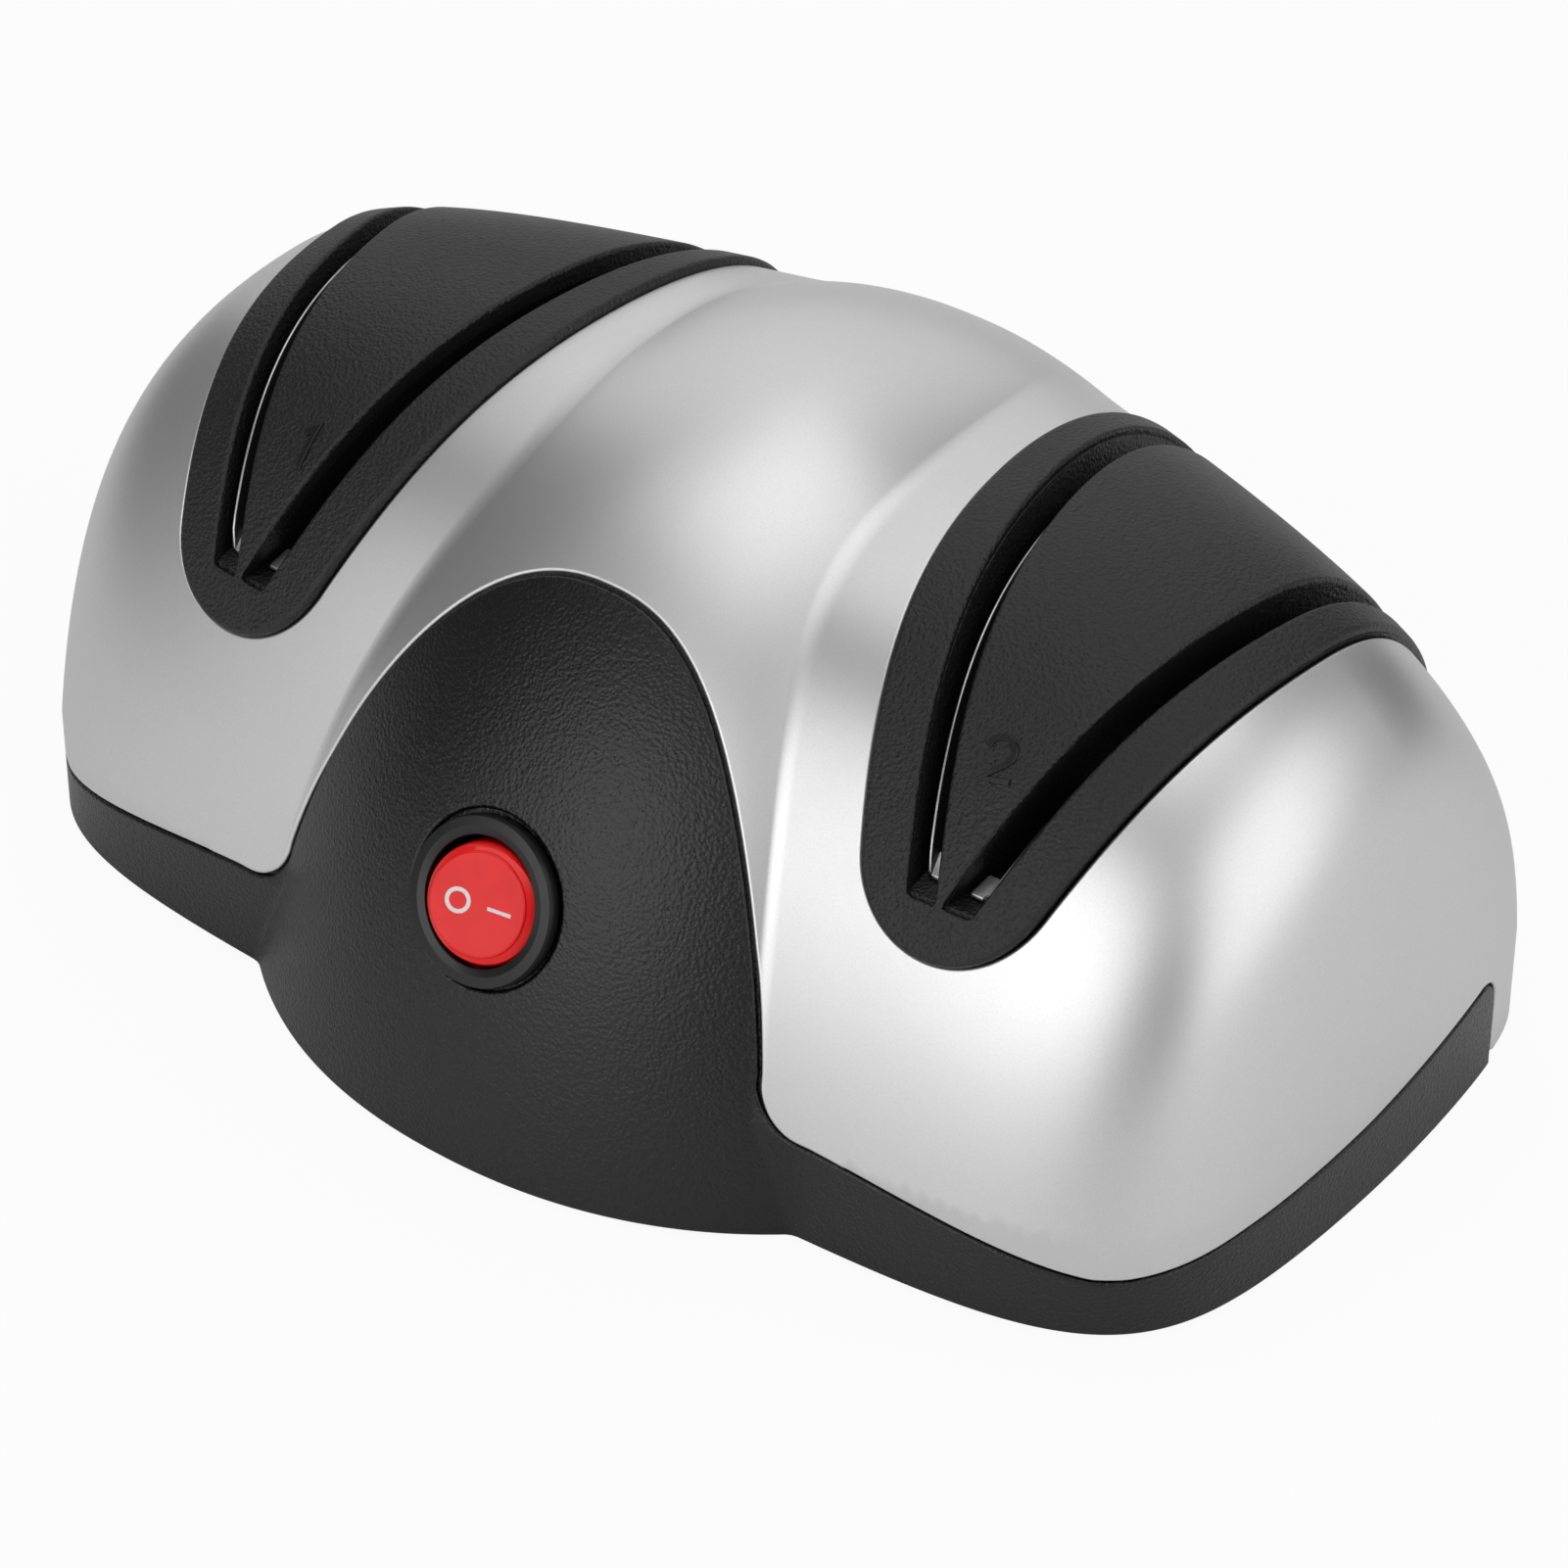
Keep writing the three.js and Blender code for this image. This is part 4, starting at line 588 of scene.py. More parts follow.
def skinMesh(rims, lift, depth, spacing):
    borders = [rim.flat for rim in rims]
    edge = np.vstack(borders)
    tree = treeOf(edge)
    creases = creasePoints[insideLines(creasePoints, borders)]
    creases = creases[farFrom(tree, creases, skins["creaseGap"])]
    line = np.arange(-layout["reach"], layout["reach"], spacing)
    grid = np.stack(np.meshgrid(line, line * 0.999, indexing="ij"), -1).reshape(-1, 2)
    grid[:, 0] += np.where(np.round(grid[:, 1] / spacing).astype(int) % 2 == 0, spacing / 4, -spacing / 4)
    grid = grid[insideLines(grid, borders)]
    grid = grid[farFrom(tree, grid, spacing * skins["edgeShare"])]
    grid = grid[farFrom(creaseTree, grid, spacing * skins["gridShare"])]
    flat = np.vstack([edge, creases, grid])
    pairs = []
    start = 0
    for border in borders:
        count = len(border)
        pairs += [(start + i, start + (i + 1) % count) for i in range(count)]
        start += count
    _, _, faces, origins, _, _ = delaunay_2d_cdt([Vector(v) for v in flat.tolist()], pairs, [], 0, 1e-9)
    faces = np.array([o[0] for o in origins])[np.array(faces)]
    a, b, c = (flat[faces[:, k]] for k in range(3))
    turned = (b[:, 0] - a[:, 0]) * (c[:, 1] - a[:, 1]) - (b[:, 1] - a[:, 1]) * (c[:, 0] - a[:, 0])
    faces[turned < 0] = faces[turned < 0][:, ::-1]
    onEdge = (faces < len(edge)).all(1)
    keep = ~onEdge
    keep[onEdge] = insideLines(((a + b + c) / 3)[onEdge], borders)
    faces = faces[keep]
    points, normals = skinAt(flat, lift)
    points[:len(edge)] = np.vstack([rim.points for rim in rims])
    allPoints = [points, points - depth * normals]
    allNormals = [normals, -normals]
    count = len(points)
    allFaces = [faces.tolist(), (faces[:, ::-1] + count).tolist()]
    total = 2 * count
    start = 0
    for rim in rims:
        size = len(rim.flat)
        ring = np.arange(start, start + size)
        last = ring + count
        start += size
        for place, normal in rim.rings():
            allPoints.append(place)
            allNormals.append(normal)
            fresh = np.arange(total, total + size)
            total += size
            allFaces.append(strip(ring, fresh))
            ring = fresh
        allFaces.append(strip(ring, last))
    return np.vstack(allPoints), np.vstack(allNormals), [f for group in allFaces for f in group]


def strip(first, second):
    after = np.roll(np.arange(len(first)), -1)
    return np.column_stack([first, second, second[after], first[after]]).tolist()


def newMesh(name, points, faces):
    mesh = bpy.data.meshes.new(name)
    mesh.from_pydata(points.tolist(), [], faces)
    mesh.update()
    return mesh


def newObject(name, data):
    made = bpy.data.objects.new(name, data)
    bpy.context.scene.collection.objects.link(made)
    return made


def assign(piece, body, nodes):
    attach(piece, body)
    if nodes:
        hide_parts(*nodes)
    return piece


def makePiece(name, points, faces, finish, body, normals=None, nodes=()):
    mesh = newMesh(name, toFrame(points), faces)
    mesh.shade_smooth()
    if normals is not None:
        mesh.normals_split_custom_set_from_vertices(normals.tolist())
    mesh.materials.append(finishes[finish])
    return assign(newObject(name, mesh), body, nodes)


# A modifier's result becomes the piece's own mesh
def keepResult(piece, modifier):
    made = piece.evaluated_get(bpy.context.evaluated_depsgraph_get())
    mesh = bpy.data.meshes.new_from_object(made)
    piece.modifiers.remove(modifier)
    piece.data = mesh


# Creases where the hump meets the casing get lines of points of their own
crease = {"shares": (-1.0, -0.5, 0.0, 0.5, 1.0), "scale": 60, "lowest": 3, "near": 0.001}


def traceCreases():
    made = []
    for share in crease["shares"]:
        offset = share * casing["creaseShare"]

        def beside(p):
            level = humpLevel(p) - casingLevel(p) - offset
            return np.maximum(level * crease["scale"], crease["lowest"] - p[:, 2])

        for line in traceLines(beside):
            points = skinAt(line)[0]
            onCrease = np.abs(humpLevel(points) - casingLevel(points) - offset) < crease["near"]
            made.append(line[onCrease])
    return np.vstack(made)


creasePoints = traceCreases()
creaseTree = treeOf(creasePoints)
print("crease points:", len(creasePoints))


# The parting lines, each traced once
def coverRegion(p):
    return np.minimum(baseDistance(p), p[:, 2] - seam["rearLift"])


def baseRegion(p):
    return np.minimum(-baseDistance(p) - seam["gap"], p[:, 2] - seam["lowest"])


coverLines = traceLines(coverRegion)
baseLines = traceLines(baseRegion)
switchLines = traceLines(switchDistance)
glandLines = traceLines(glandDistance)
print("parting lines:", [len(line) for line in coverLines + baseLines + switchLines + glandLines])


def moduleLines(side, lift, grow=0.0):
    return traceLines(lambda p: moduleDistance(p, side) + grow, lift)


def buildSkin(name, rims, lift, depth, spacing, finishName, node):
    points, normals, faces = skinMesh(rims, lift, depth, spacing)
    makePiece(name, points, faces, finishName, "casing", normals, [node])
    print(name, len(faces), "faces")


def buildCover():
    depth = skins["coverDepth"]
    lines = coverLines + moduleLines(-1, 0) + moduleLines(1, 0)
    rims = [Rim(line, 0, skins["lip"], depth) for line in lines]
    rims += [Rim(line, 0, gland["lip"], depth) for line in glandLines]
    buildSkin("silver_cover", rims, 0, depth, skins["fine"], "silver", "upper_housing")


# Inside of a moulding: the CAD solid, cut back to lie under the surface of its fine skin
limit = {"columns": 180, "rows": 60, "low": -5}


def underBody(lift, name):
    columns, rows = limit["columns"], limit["rows"]
    turn = np.linspace(0, 2 * math.pi, columns, endpoint=False)
    climb = np.linspace(math.pi / 2, 0, rows, endpoint=False)
    flat = np.array([[c * math.cos(t), c * math.sin(t)] for c in climb for t in turn] + [[0, 0]])
    points, normals = skinAt(flat)
    points = points + lift * normals
    rim = points[:columns].copy()
    rim[:, 2] = limit["low"]
    points = np.vstack([points, rim, [[0, 0, limit["low"]]]])
    a = np.arange(columns)
    b = np.roll(a, -1)
    faces = []
    for low in range(0, (rows - 1) * columns, columns):
        faces += np.column_stack([a + low, b + low, b + low + columns, a + low + columns]).tolist()
    top = rows * columns
    low = top + 1
    faces += np.column_stack([a + top - columns, b + top - columns, np.full(columns, top)]).tolist()
    faces += np.column_stack([b, a, a + low, b + low]).tolist()
    faces += np.column_stack([b + low, a + low, np.full(columns, low + columns)]).tolist()
    return newObject(name, newMesh(name, toFrame(points), faces))


def mergedCopy(node, name):
    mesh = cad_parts[node].data.copy()
    mesh.name = name
    cleaned = bmesh.new()
    cleaned.from_mesh(mesh)
    bmesh.ops.remove_doubles(cleaned, verts=cleaned.verts, dist=1e-6)
    cleaned.to_mesh(mesh)
    cleaned.free()
    return newObject(name, mesh)


def buildInside(node, name, lift, finish):
    piece = mergedCopy(node, name)
    solid = underBody(lift, name + "_limit")
    cut = piece.modifiers.new("inside", "BOOLEAN")
    cut.operation = "INTERSECT"
    cut.solver = "MANIFOLD"
    cut.object = solid
    keepResult(piece, cut)
    bpy.data.objects.remove(solid)
    piece.data.shade_flat()
    piece.data.materials.clear()
    piece.data.materials.append(finishes[finish])
    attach(piece, "casing")
    print(name, len(piece.data.polygons), "faces")


def buildBase():
    depth = skins["depth"]
    rims = [Rim(line, 0, skins["lip"], depth) for line in baseLines]
    rims += [Rim(line, 0, switch["lip"], depth, recessFloor) for line in switchLines]
    buildSkin("black_base", rims, 0, depth, skins["fine"], "dome", "lower_housing")
    buildInside("lower_housing", "base_inside", skins["baseInsideLift"], "dome")


def recessFloor(points):
    local = (points - switchPlace) @ switchAxes.T
    local[:, 2] = -switch["recessDepth"]
    return local @ switchAxes + switchPlace


# Guide modules: the U-shaped cap with two slots
def slotFloor(way):
    def down(points):
        drop = np.minimum(np.maximum(points[:, 2] - slot["floor"], 0), slot["wallDrop"])
        return points - np.column_stack([way * slot["lean"] * drop, 0 * drop, drop])
    return down


def slotLip(points):
    share = np.clip((points[:, 2] - slot["floor"]) / slot["lipRun"], 0, 1)
    share = share * share * (3 - 2 * share)
    return (slot["tipLip"] + (slot["lip"] - slot["tipLip"]) * share)[:, None]


def buildModule(side, name, node):
    lift, wall = guide["proud"], guide["wall"]
    rims = [Rim(line[::-1], lift, skins["rimLip"], guide["rimDepth"])
            for line in moduleLines(side, lift, guide["gap"])]
    for way in (-1, 1):
        for line in traceLines(lambda p: slotDistance(p, side, way), lift):
            rims.append(Rim(line, lift, slotLip, wall, slotFloor(way)))
    buildSkin(name, rims, lift, wall, skins["moduleFine"], "module", node)
    buildInside(node, name + "_inside", guide["insideLift"], "module")


buildCover()
buildBase()
buildModule(-1, "coarse_guide", "coarse_guide_module")
buildModule(1, "fine_guide", "fine_guide_module")


# Small pieces: lathes, printed strips, leaves
def turnedRings(profile, columns, closed=False):
    angles = np.linspace(0, 2 * math.pi, columns, endpoint=False)
    points, rings = [], []
    for radius, height in profile:
        start = len(points)
        if radius < 1e-6:
            points.append((0, 0, height))
            rings.append(np.full(columns, start))
        else:
            points += [(radius * math.cos(t), radius * math.sin(t), height) for t in angles]
            rings.append(np.arange(start, start + columns))
    faces = []
    for low, high in zip(rings, rings[1:] + rings[:1] if closed else rings[1:]):
        for a, b, c, d in zip(low, np.roll(low, -1), np.roll(high, -1), high):
            faces.append([int(v) for v in dict.fromkeys((a, b, c, d))])
    return np.array(points, float), faces


def roundCorner(before, corner, after, radius, steps=5):
    before, corner, after = (np.array(v, float) for v in (before, corner, after))
    inward = (before - corner) / np.linalg.norm(before - corner)
    onward = (after - corner) / np.linalg.norm(after - corner)
    start, end = corner + inward * radius, corner + onward * radius
    share = np.linspace(0, 1, steps + 1)[:, None]
    return ((1 - share) ** 2 * start + 2 * share * (1 - share) * corner + share ** 2 * end).tolist()


# Corners of a profile are radius, height and how far they are rounded
def roundedProfile(corners):
    made = []
    for i, (radius, height, turn) in enumerate(corners):
        if turn:
            made += roundCorner(corners[i - 1][:2], (radius, height), corners[i + 1][:2], turn)
        else:
            made.append([radius, height])
    return made


sharpAngle = math.radians(38)


def smoothPiece(name, points, faces, finish, body, nodes=()):
    piece = makePiece(name, points, faces, finish, body, None, nodes)
    piece.data.set_sharp_from_angle(angle=sharpAngle)
    return piece


# Printed strip along a path in plan, laid on a surface by place(points, height); its size is
# width, height and sink
printed = {"bevel": 0.08, "mitre": 0.3}


def printedStrip(name, path, size, closed, place, finish, body):
    width, height, sink = size
    path = np.array(path, float)
    ahead = np.roll(path, -1, axis=0) - path
    if not closed:
        ahead[-1] = ahead[-2]
    ahead /= np.linalg.norm(ahead, axis=1)[:, None]
    behind = np.roll(ahead, 1, axis=0)
    if not closed:
        behind[0] = ahead[0]
    left = np.column_stack([-(ahead + behind)[:, 1], (ahead + behind)[:, 0]])
    across = (left * np.column_stack([-ahead[:, 1], ahead[:, 0]])).sum(1)
    left /= np.maximum(across, printed["mitre"])[:, None]
    bevel = min(printed["bevel"], width / 6)
    rows = [(-0.5 * width, -sink), (-0.5 * width, height - bevel), (-0.5 * width + bevel, height),
            (0.5 * width - bevel, height), (0.5 * width, height - bevel), (0.5 * width, -sink)]
    count = len(path)
    points = np.vstack([place(path + left * offset, lift) for offset, lift in rows])
    faces = []
    for row in range(len(rows)):
        low, high = row * count, (row + 1) % len(rows) * count
        for i in range(count if closed else count - 1):
            j = (i + 1) % count
            faces.append([low + i, high + i, high + j, low + j])
    if not closed:
        faces.append([row * count for row in range(len(rows))][::-1])
        faces.append([row * count + count - 1 for row in range(len(rows))])
    return smoothPiece(name, points, faces, finish, body, ())


# Switch: bezel and barrel turned about the switch's axis
bezel = {
    "outer": 11.5, "edge": 0.3, "front": 1.15, "fold": 9.9, "lip": 8.75, "lipDepth": 0.9, "inner": 9.15,
    "wellFloor": -7.2, "barrel": 10.2, "back": -15.0, "seat": -0.8, "columns": 120,
    "lipDrop": 0.25, "foldRise": 0.05, "outerInset": 0.25, "outerDrop": 0.1,
}
rocker = {
    "pivotDepth": 3, "press": 12, "rim": 7.2, "rimX": -0.35, "rimShare": 0.955, "rise": 5.9, "dip": 5.1,
    "foot": -2.0, "footShare": 0.78, "footAcross": 8.2, "footUp": 8.1, "columns": 120, "rimRadius": 0.45,
    "bendSoft": 0.02, "bendDrop": 0.14, "bend": 0.9, "sag": 0.1, "skirtGap": 0.05,
    "skirt": ((7.75, 4.75), (8.0, 4.3), (8.15, 3.95), (8.2, 3.5), (8.2, 0.0)),
    "pinRadius": 1, "pinHalf": 9.6, "pinRound": 0.2, "pinColumns": 24,
    "ring": (-3.2, -0.3), "ringRadius": 1.5, "ringSize": (0.62, 0.06, 0.25),
    "dash": ((1.0, 0.0), (4.5, 0.25)), "dashSize": (0.55, 0.06, 0.25),
}


def fromSwitch(local):
    return np.asarray(local, float) @ switchAxes + switchPlace


def fromRocker(local):
    turn = math.radians(rocker["press"])
    x, y, z = np.asarray(local, float).T
    return fromSwitch(np.column_stack([
        x * math.cos(turn) + z * math.sin(turn), y,
        -x * math.sin(turn) + z * math.cos(turn) - rocker["pivotDepth"],
    ]))


def rockerFace(x, y):
    lift = rocker["rise"] - rocker["dip"]
    bend = np.sqrt((x / rocker["rim"]) ** 2 + rocker["bendSoft"]) - rocker["bendDrop"]
    return rocker["dip"] + lift * bend * rocker["bend"] + rocker["sag"] * lift * (y / rocker["rim"]) ** 2


def buildSwitch():
    b = bezel
    profile = roundedProfile([
        (0, b["wellFloor"], 0), (b["inner"], b["wellFloor"], 0.4),
        (b["inner"], b["front"] - b["lipDepth"], 0), (b["lip"], b["front"] - b["lipDepth"], 0.1),
        (b["lip"], b["front"] - b["lipDrop"], 0.2), (b["fold"], b["front"] + b["foldRise"], 0.12),
        (b["outer"] - b["outerInset"], b["front"] - b["outerDrop"], 0), (b["outer"], b["edge"], 0.35),
        (b["outer"], b["seat"], 0.1), (b["barrel"], b["seat"], 0.1),
        (b["barrel"], b["back"], 0.6), (0, b["back"], 0),
    ])
    points, faces = turnedRings(profile[::-1], b["columns"])
    smoothPiece("switch_bezel", fromSwitch(points), faces, "switchBlack", "casing", ["switch_body"])

    r = rocker
    turn = np.linspace(0, 2 * math.pi, r["columns"], endpoint=False)
    across, up = np.cos(turn), np.sin(turn)
    rings = []
    for share in np.linspace(0.08, 1, 14):
        out = (r["rim"] - r["rimRadius"]) * share
        x, y = r["rimX"] + across * out * r["rimShare"], up * out
        rings.append(np.column_stack([x, y, rockerFace(x, y)]))
    edge = rockerFace(r["rimX"] + across * r["rim"] * r["rimShare"], up * r["rim"])
    for bend in np.linspace(0, math.pi / 2, 6)[1:]:
        out = r["rim"] - r["rimRadius"] * (1 - math.sin(bend))
        x, y = r["rimX"] + across * out * r["rimShare"], up * out
        rings.append(np.column_stack([x, y, edge - r["rimRadius"] * (1 - math.cos(bend))]))
    for out, height in r["skirt"]:
        low = np.minimum(height, edge - r["rimRadius"] - r["skirtGap"])
        rings.append(np.column_stack([across * out, up * out, low]))
    foot = np.full(len(turn), r["foot"])
    rings.append(np.column_stack([across * r["footAcross"] * r["footShare"], up * r["footUp"], foot]))
    points = np.vstack([[[0, 0, rockerFace(0, 0)]]] + rings + [[[0, 0, r["foot"]]]])
    count = len(turn)
    faces = [[0, 1 + i, 1 + (i + 1) % count] for i in range(count)]
    for row in range(len(rings) - 1):
        first = np.arange(count) + 1 + row * count
        faces += strip(first, first + count)
    last = 1 + (len(rings) - 1) * count
    faces += [[last + (i + 1) % count, last + i, len(points) - 1] for i in range(count)]
    smoothPiece("rocker_button", fromRocker(points), faces, "switchRed", "rocker",
                ["switch_rocker"])

    radius, half, turn = r["pinRadius"], r["pinHalf"], r["pinRound"]
    pin = roundedProfile([(0, -half, 0), (radius, -half, turn), (radius, half, turn), (0, half, 0)])
    points, faces = turnedRings(pin, r["pinColumns"])
    smoothPiece("rocker_pin", fromRocker(points[:, [1, 2, 0]]), faces, "switchRed", "rocker", ())

    def onFace(flat, lift):
        return fromRocker(np.column_stack([flat, rockerFace(flat[:, 0], flat[:, 1]) + lift]))

    circle = np.array(r["ring"]) + r["ringRadius"] * np.column_stack([across, up])[::2]
    printedStrip("off_mark", circle, r["ringSize"], True, onFace, "print", "rocker")
    start, end = (np.array(v) for v in r["dash"])
    share = np.linspace(0, 1, 12)[:, None]
    path = start + (end - start) * share
    printedStrip("on_mark", path, r["dashSize"], False, onFace, "print", "rocker")
    print("switch: bezel, button, pin and marks")


# Numerals beside the slots, moulded a little proud of the module; size is stroke, height and sink
numeral = {
    "height": 6.2, "width": 4.1, "size": (0.85, 0.35, 0.4),
    "one": {"base": (-57.4, -30.0, 65.6), "right": (4.6, 0.0, 0.2)},
    "two": {"base": (61.0, -29.6, 65.8), "right": (4.6, 0.9, 0.6)},
}


# A numeral's stroke as a path from the middle of its foot
def numeralPath(name):
    height, width = numeral["height"], numeral["width"]
    if name == "one":
        return [(-0.28 * width, 0.76 * height), (0.05 * width, height * 0.96), (0.05 * width, 0)]
    radius = width * 0.46
    turn = np.radians(np.linspace(165, -38, 22))
    bow = [(radius * math.cos(t), height - 0.5 - radius + radius * math.sin(t)) for t in turn]
    return bow + [(-width * 0.46, 0.1), (width * 0.5, 0.1)]


def buildNumerals():
    for name in ("one", "two"):
        spec = numeral[name]
        base, normal = skinAt(flatOf(np.array([spec["base"]], float)), guide["proud"])
        right = np.array(spec["right"], float)
        right -= (right @ normal[0]) * normal[0]
        right /= np.linalg.norm(right)
        up = np.cross(normal[0], right)

        def onModule(flat, lift):
            points = base + flat[:, :1] * right + flat[:, 1:] * up
            return skinAt(flatOf(points), guide["proud"] + lift)[0]

        corners = np.array(numeralPath(name))
        steps = [np.linspace(0, 1, 8, endpoint=False)[:, None] * (b - a) + a
                 for a, b in zip(corners, corners[1:])]
        path = np.vstack(steps + [corners[-1:]]) if name == "one" else corners
        printedStrip("numeral_" + name, path, numeral["size"], False, onModule,
                     "switchBlack", "casing")
    print("numerals: 1 and 2")


# Leaves: thin steel strips with a rounded top edge and a foot across the slot's floor
leaf = {
    "inner": 0.6, "outer": 1.1, "middle": 0.85, "frontY": -36.8, "backY": 44.0, "low": 51.9,
    "stations": 90, "probes": 200, "search": (45.0, 95.0), "rounds": 24, "endRound": 1.5, "least": 0.9,
    "footLength": 3.0, "footReach": 2.0, "footCorner": 0.4, "footRise": 0.5, "footHalf": 1.4,
    "footLayers": ((0.06, 0.0), (0.0, 0.06), (0.0, 0.42), (0.08, 0.5)),
}
# Side of the casing, side of the stage, and how far the top edge is below the module's skin
leaves = {
    "coarse_outer": (-1, -1, 2.4), "coarse_inner": (-1, 1, 5.0),
    "fine_inner": (1, -1, 4.2), "fine_outer": (1, 1, 5.0),
}


def leafTop(side, way, y, drop):
    low, high = (np.full(len(y), height) for height in leaf["search"])
    for _ in range(leaf["rounds"]):
        middle = (low + high) / 2
        inside = bodyLevel(np.column_stack([slotX(side, way, y, middle, leaf["middle"]), y, middle])) < 1
        low, high = np.where(inside, middle, low), np.where(inside, high, middle)
    return low + guide["proud"] - drop


def buildLeaf(name, side, way, drop):
    low, turn = leaf["low"], leaf["endRound"]
    y = np.linspace(leaf["frontY"], leaf["backY"], leaf["probes"])
    backY = y[leafTop(side, way, y, drop) > low + turn].max()
    y = np.linspace(leaf["frontY"], backY, leaf["stations"])
    ends = np.minimum(y - leaf["frontY"], backY - y)
    rounding = np.sqrt(np.clip(1 - (1 - np.clip(ends, 0, turn) / turn) ** 2, 0, 1))
    top = np.maximum(leafTop(side, way, y, drop) - turn * (1 - rounding), low + leaf["least"])
    half = (leaf["outer"] - leaf["inner"]) / 2
    middle = (leaf["outer"] + leaf["inner"]) / 2
    turns = np.linspace(0, math.pi, 7)
    section = [(half, None)] + [(half * math.cos(t), math.sin(t)) for t in turns] + [(-half, None)]
    rows = []
    for offset, climb in section:
        z = np.full(len(y), low) if climb is None else top - half + half * climb
        rows.append(np.column_stack([slotX(side, way, y, z, middle + offset), y, z]))
    count = len(y)
    points = np.vstack(rows)
    faces = []
    for row in range(len(rows)):
        first = np.arange(count - 1) + row * count
        second = np.arange(count - 1) + (row + 1) % len(rows) * count
        faces += np.column_stack([first, first + 1, second + 1, second]).tolist()
    faces.append([row * count for row in range(len(rows))])
    faces.append([row * count + count - 1 for row in range(len(rows))][::-1])

    # The foot is bent towards the slot's middle; its layers are inset and height
    reach, length = leaf["inner"] - leaf["footReach"], leaf["footLength"]
    outline = [(leaf["outer"], 0), (reach, 0), (reach, length), (leaf["outer"], length)]
    plan = [outline[0]]
    plan += roundCorner(*outline[:3], leaf["footCorner"])
    plan += roundCorner(*outline[1:], leaf["footCorner"]) + [outline[3]]
    size = len(plan)
    centre = np.array([(leaf["outer"] + reach) / 2, length / 2])
    first = np.arange(size) + len(points)
    for inset, climb in leaf["footLayers"]:
        flat = np.array(plan) + (centre - plan) * inset / leaf["footHalf"]
        y, z = leaf["frontY"] + flat[:, 1], low + climb + leaf["footRise"] * flat[:, 1]
        points = np.vstack([points, np.column_stack([slotX(side, way, y, z, flat[:, 0]), y, z])])
    last = first + (len(leaf["footLayers"]) - 1) * size
    for step in range(0, last[0] - first[0], size):
        faces += strip(first + step, first + step + size)
    faces += [first.tolist(), last.tolist()[::-1]]
    piece = smoothPiece(name + "_leaf", points, faces, "steel", name + "_guide_spring",
                        [name + "_guide_spring"])
    faceOutward(piece)


def faceOutward(piece):
    made = bmesh.new()
    made.from_mesh(piece.data)
    bmesh.ops.recalc_face_normals(made, faces=made.faces)
    made.to_mesh(piece.data)
    made.free()
    piece.data.set_sharp_from_angle(angle=sharpAngle)


# Geometry Nodes: a group with named inputs, run once on a small mesh and kept as a plain one
class Recipe:
    def __init__(self, name, **inputs):
        self.tree = bpy.data.node_groups.new(name, "GeometryNodeTree")
        face = self.tree.interface
        face.new_socket(name="Geometry", in_out="INPUT", socket_type="NodeSocketGeometry")
        self.values = {}
        for label, value in inputs.items():
            kind = "NodeSocketVector" if isinstance(value, tuple) else "NodeSocketFloat"
            socket = face.new_socket(name=label, in_out="INPUT", socket_type=kind)
            self.values[socket.identifier] = value
        face.new_socket(name="Geometry", in_out="OUTPUT", socket_type="NodeSocketGeometry")
        self.start = self.tree.nodes.new("NodeGroupInput")
        self.end = self.tree.nodes.new("NodeGroupOutput")

    def given(self, name):
        return self.start.outputs[name]

    def add(self, kind, inputs=None, **settings):
        return addNode(self.tree, kind, inputs, **settings)

    def make(self, geometry, finish, name, points, faces, body, nodes, slotName):
        real = self.add("GeometryNodeRealizeInstances", {0: geometry})
        painted = self.add("GeometryNodeSetMaterial", {0: real, "Material": finishes[finish]})
        self.tree.links.new(painted, self.end.inputs[0])
        piece = newObject(name, newMesh(name + "_seed", points / 1000, faces))
        modifier = piece.modifiers.new("recipe", "NODES")
        modifier.node_group = self.tree
        for identifier, value in self.values.items():
            modifier[identifier] = value
        keepResult(piece, modifier)
        piece.data.shade_smooth()
        piece.data.set_sharp_from_angle(angle=sharpAngle)
        return assign(piece, body, nodes)


def cornerCopies(recipe, geometry):
    # Four copies, at the corners of a rectangle of the length and depth given about its middle
    given = recipe.given
    sizes = {"Size X": given("length"), "Size Y": given("depth"), "Vertices X": 2, "Vertices Y": 2}
    grid = recipe.add("GeometryNodeMeshGrid", sizes)
    placed = recipe.add("GeometryNodeTransform", {0: grid, "Translation": given("middle")})
    return recipe.add("GeometryNodeInstanceOnPoints", {"Points": placed, "Instance": geometry})


def pairOf(start, firstWord, secondWord, end):
    return [start + word + end for word in (firstWord, secondWord)]


def cornerNames(kind):
    return pairOf("front_", "left", "right", kind) + pairOf("back_", "left", "right", kind)


# Rubber feet with a rounded edge and a shallow dish, and casing screws with a cross recess
feet = {
    "across": 132.0, "depth": 76.0, "radius": 6.5, "low": -0.8, "high": 1.7, "edge": 0.5,
    "dish": 0.35, "dishInset": 1.6, "rimInset": 1.4, "columns": 64,
}
screws = {
    "across": 177.0, "depth": 54.0, "middleY": 0.0, "low": 4.7, "head": 2.9, "headHeight": 2.0,
    "length": 27.0, "radius": 1.5, "pitch": 1.1, "cross": 3.4, "arm": 0.8, "sunk": 2.4,
    "neckCut": 0.2, "plain": 3, "tip": 1.6, "tipRadius": 0.3, "thread": 0.3, "crest": 0.4, "valley": 0.75,
    "columns": 28,
}


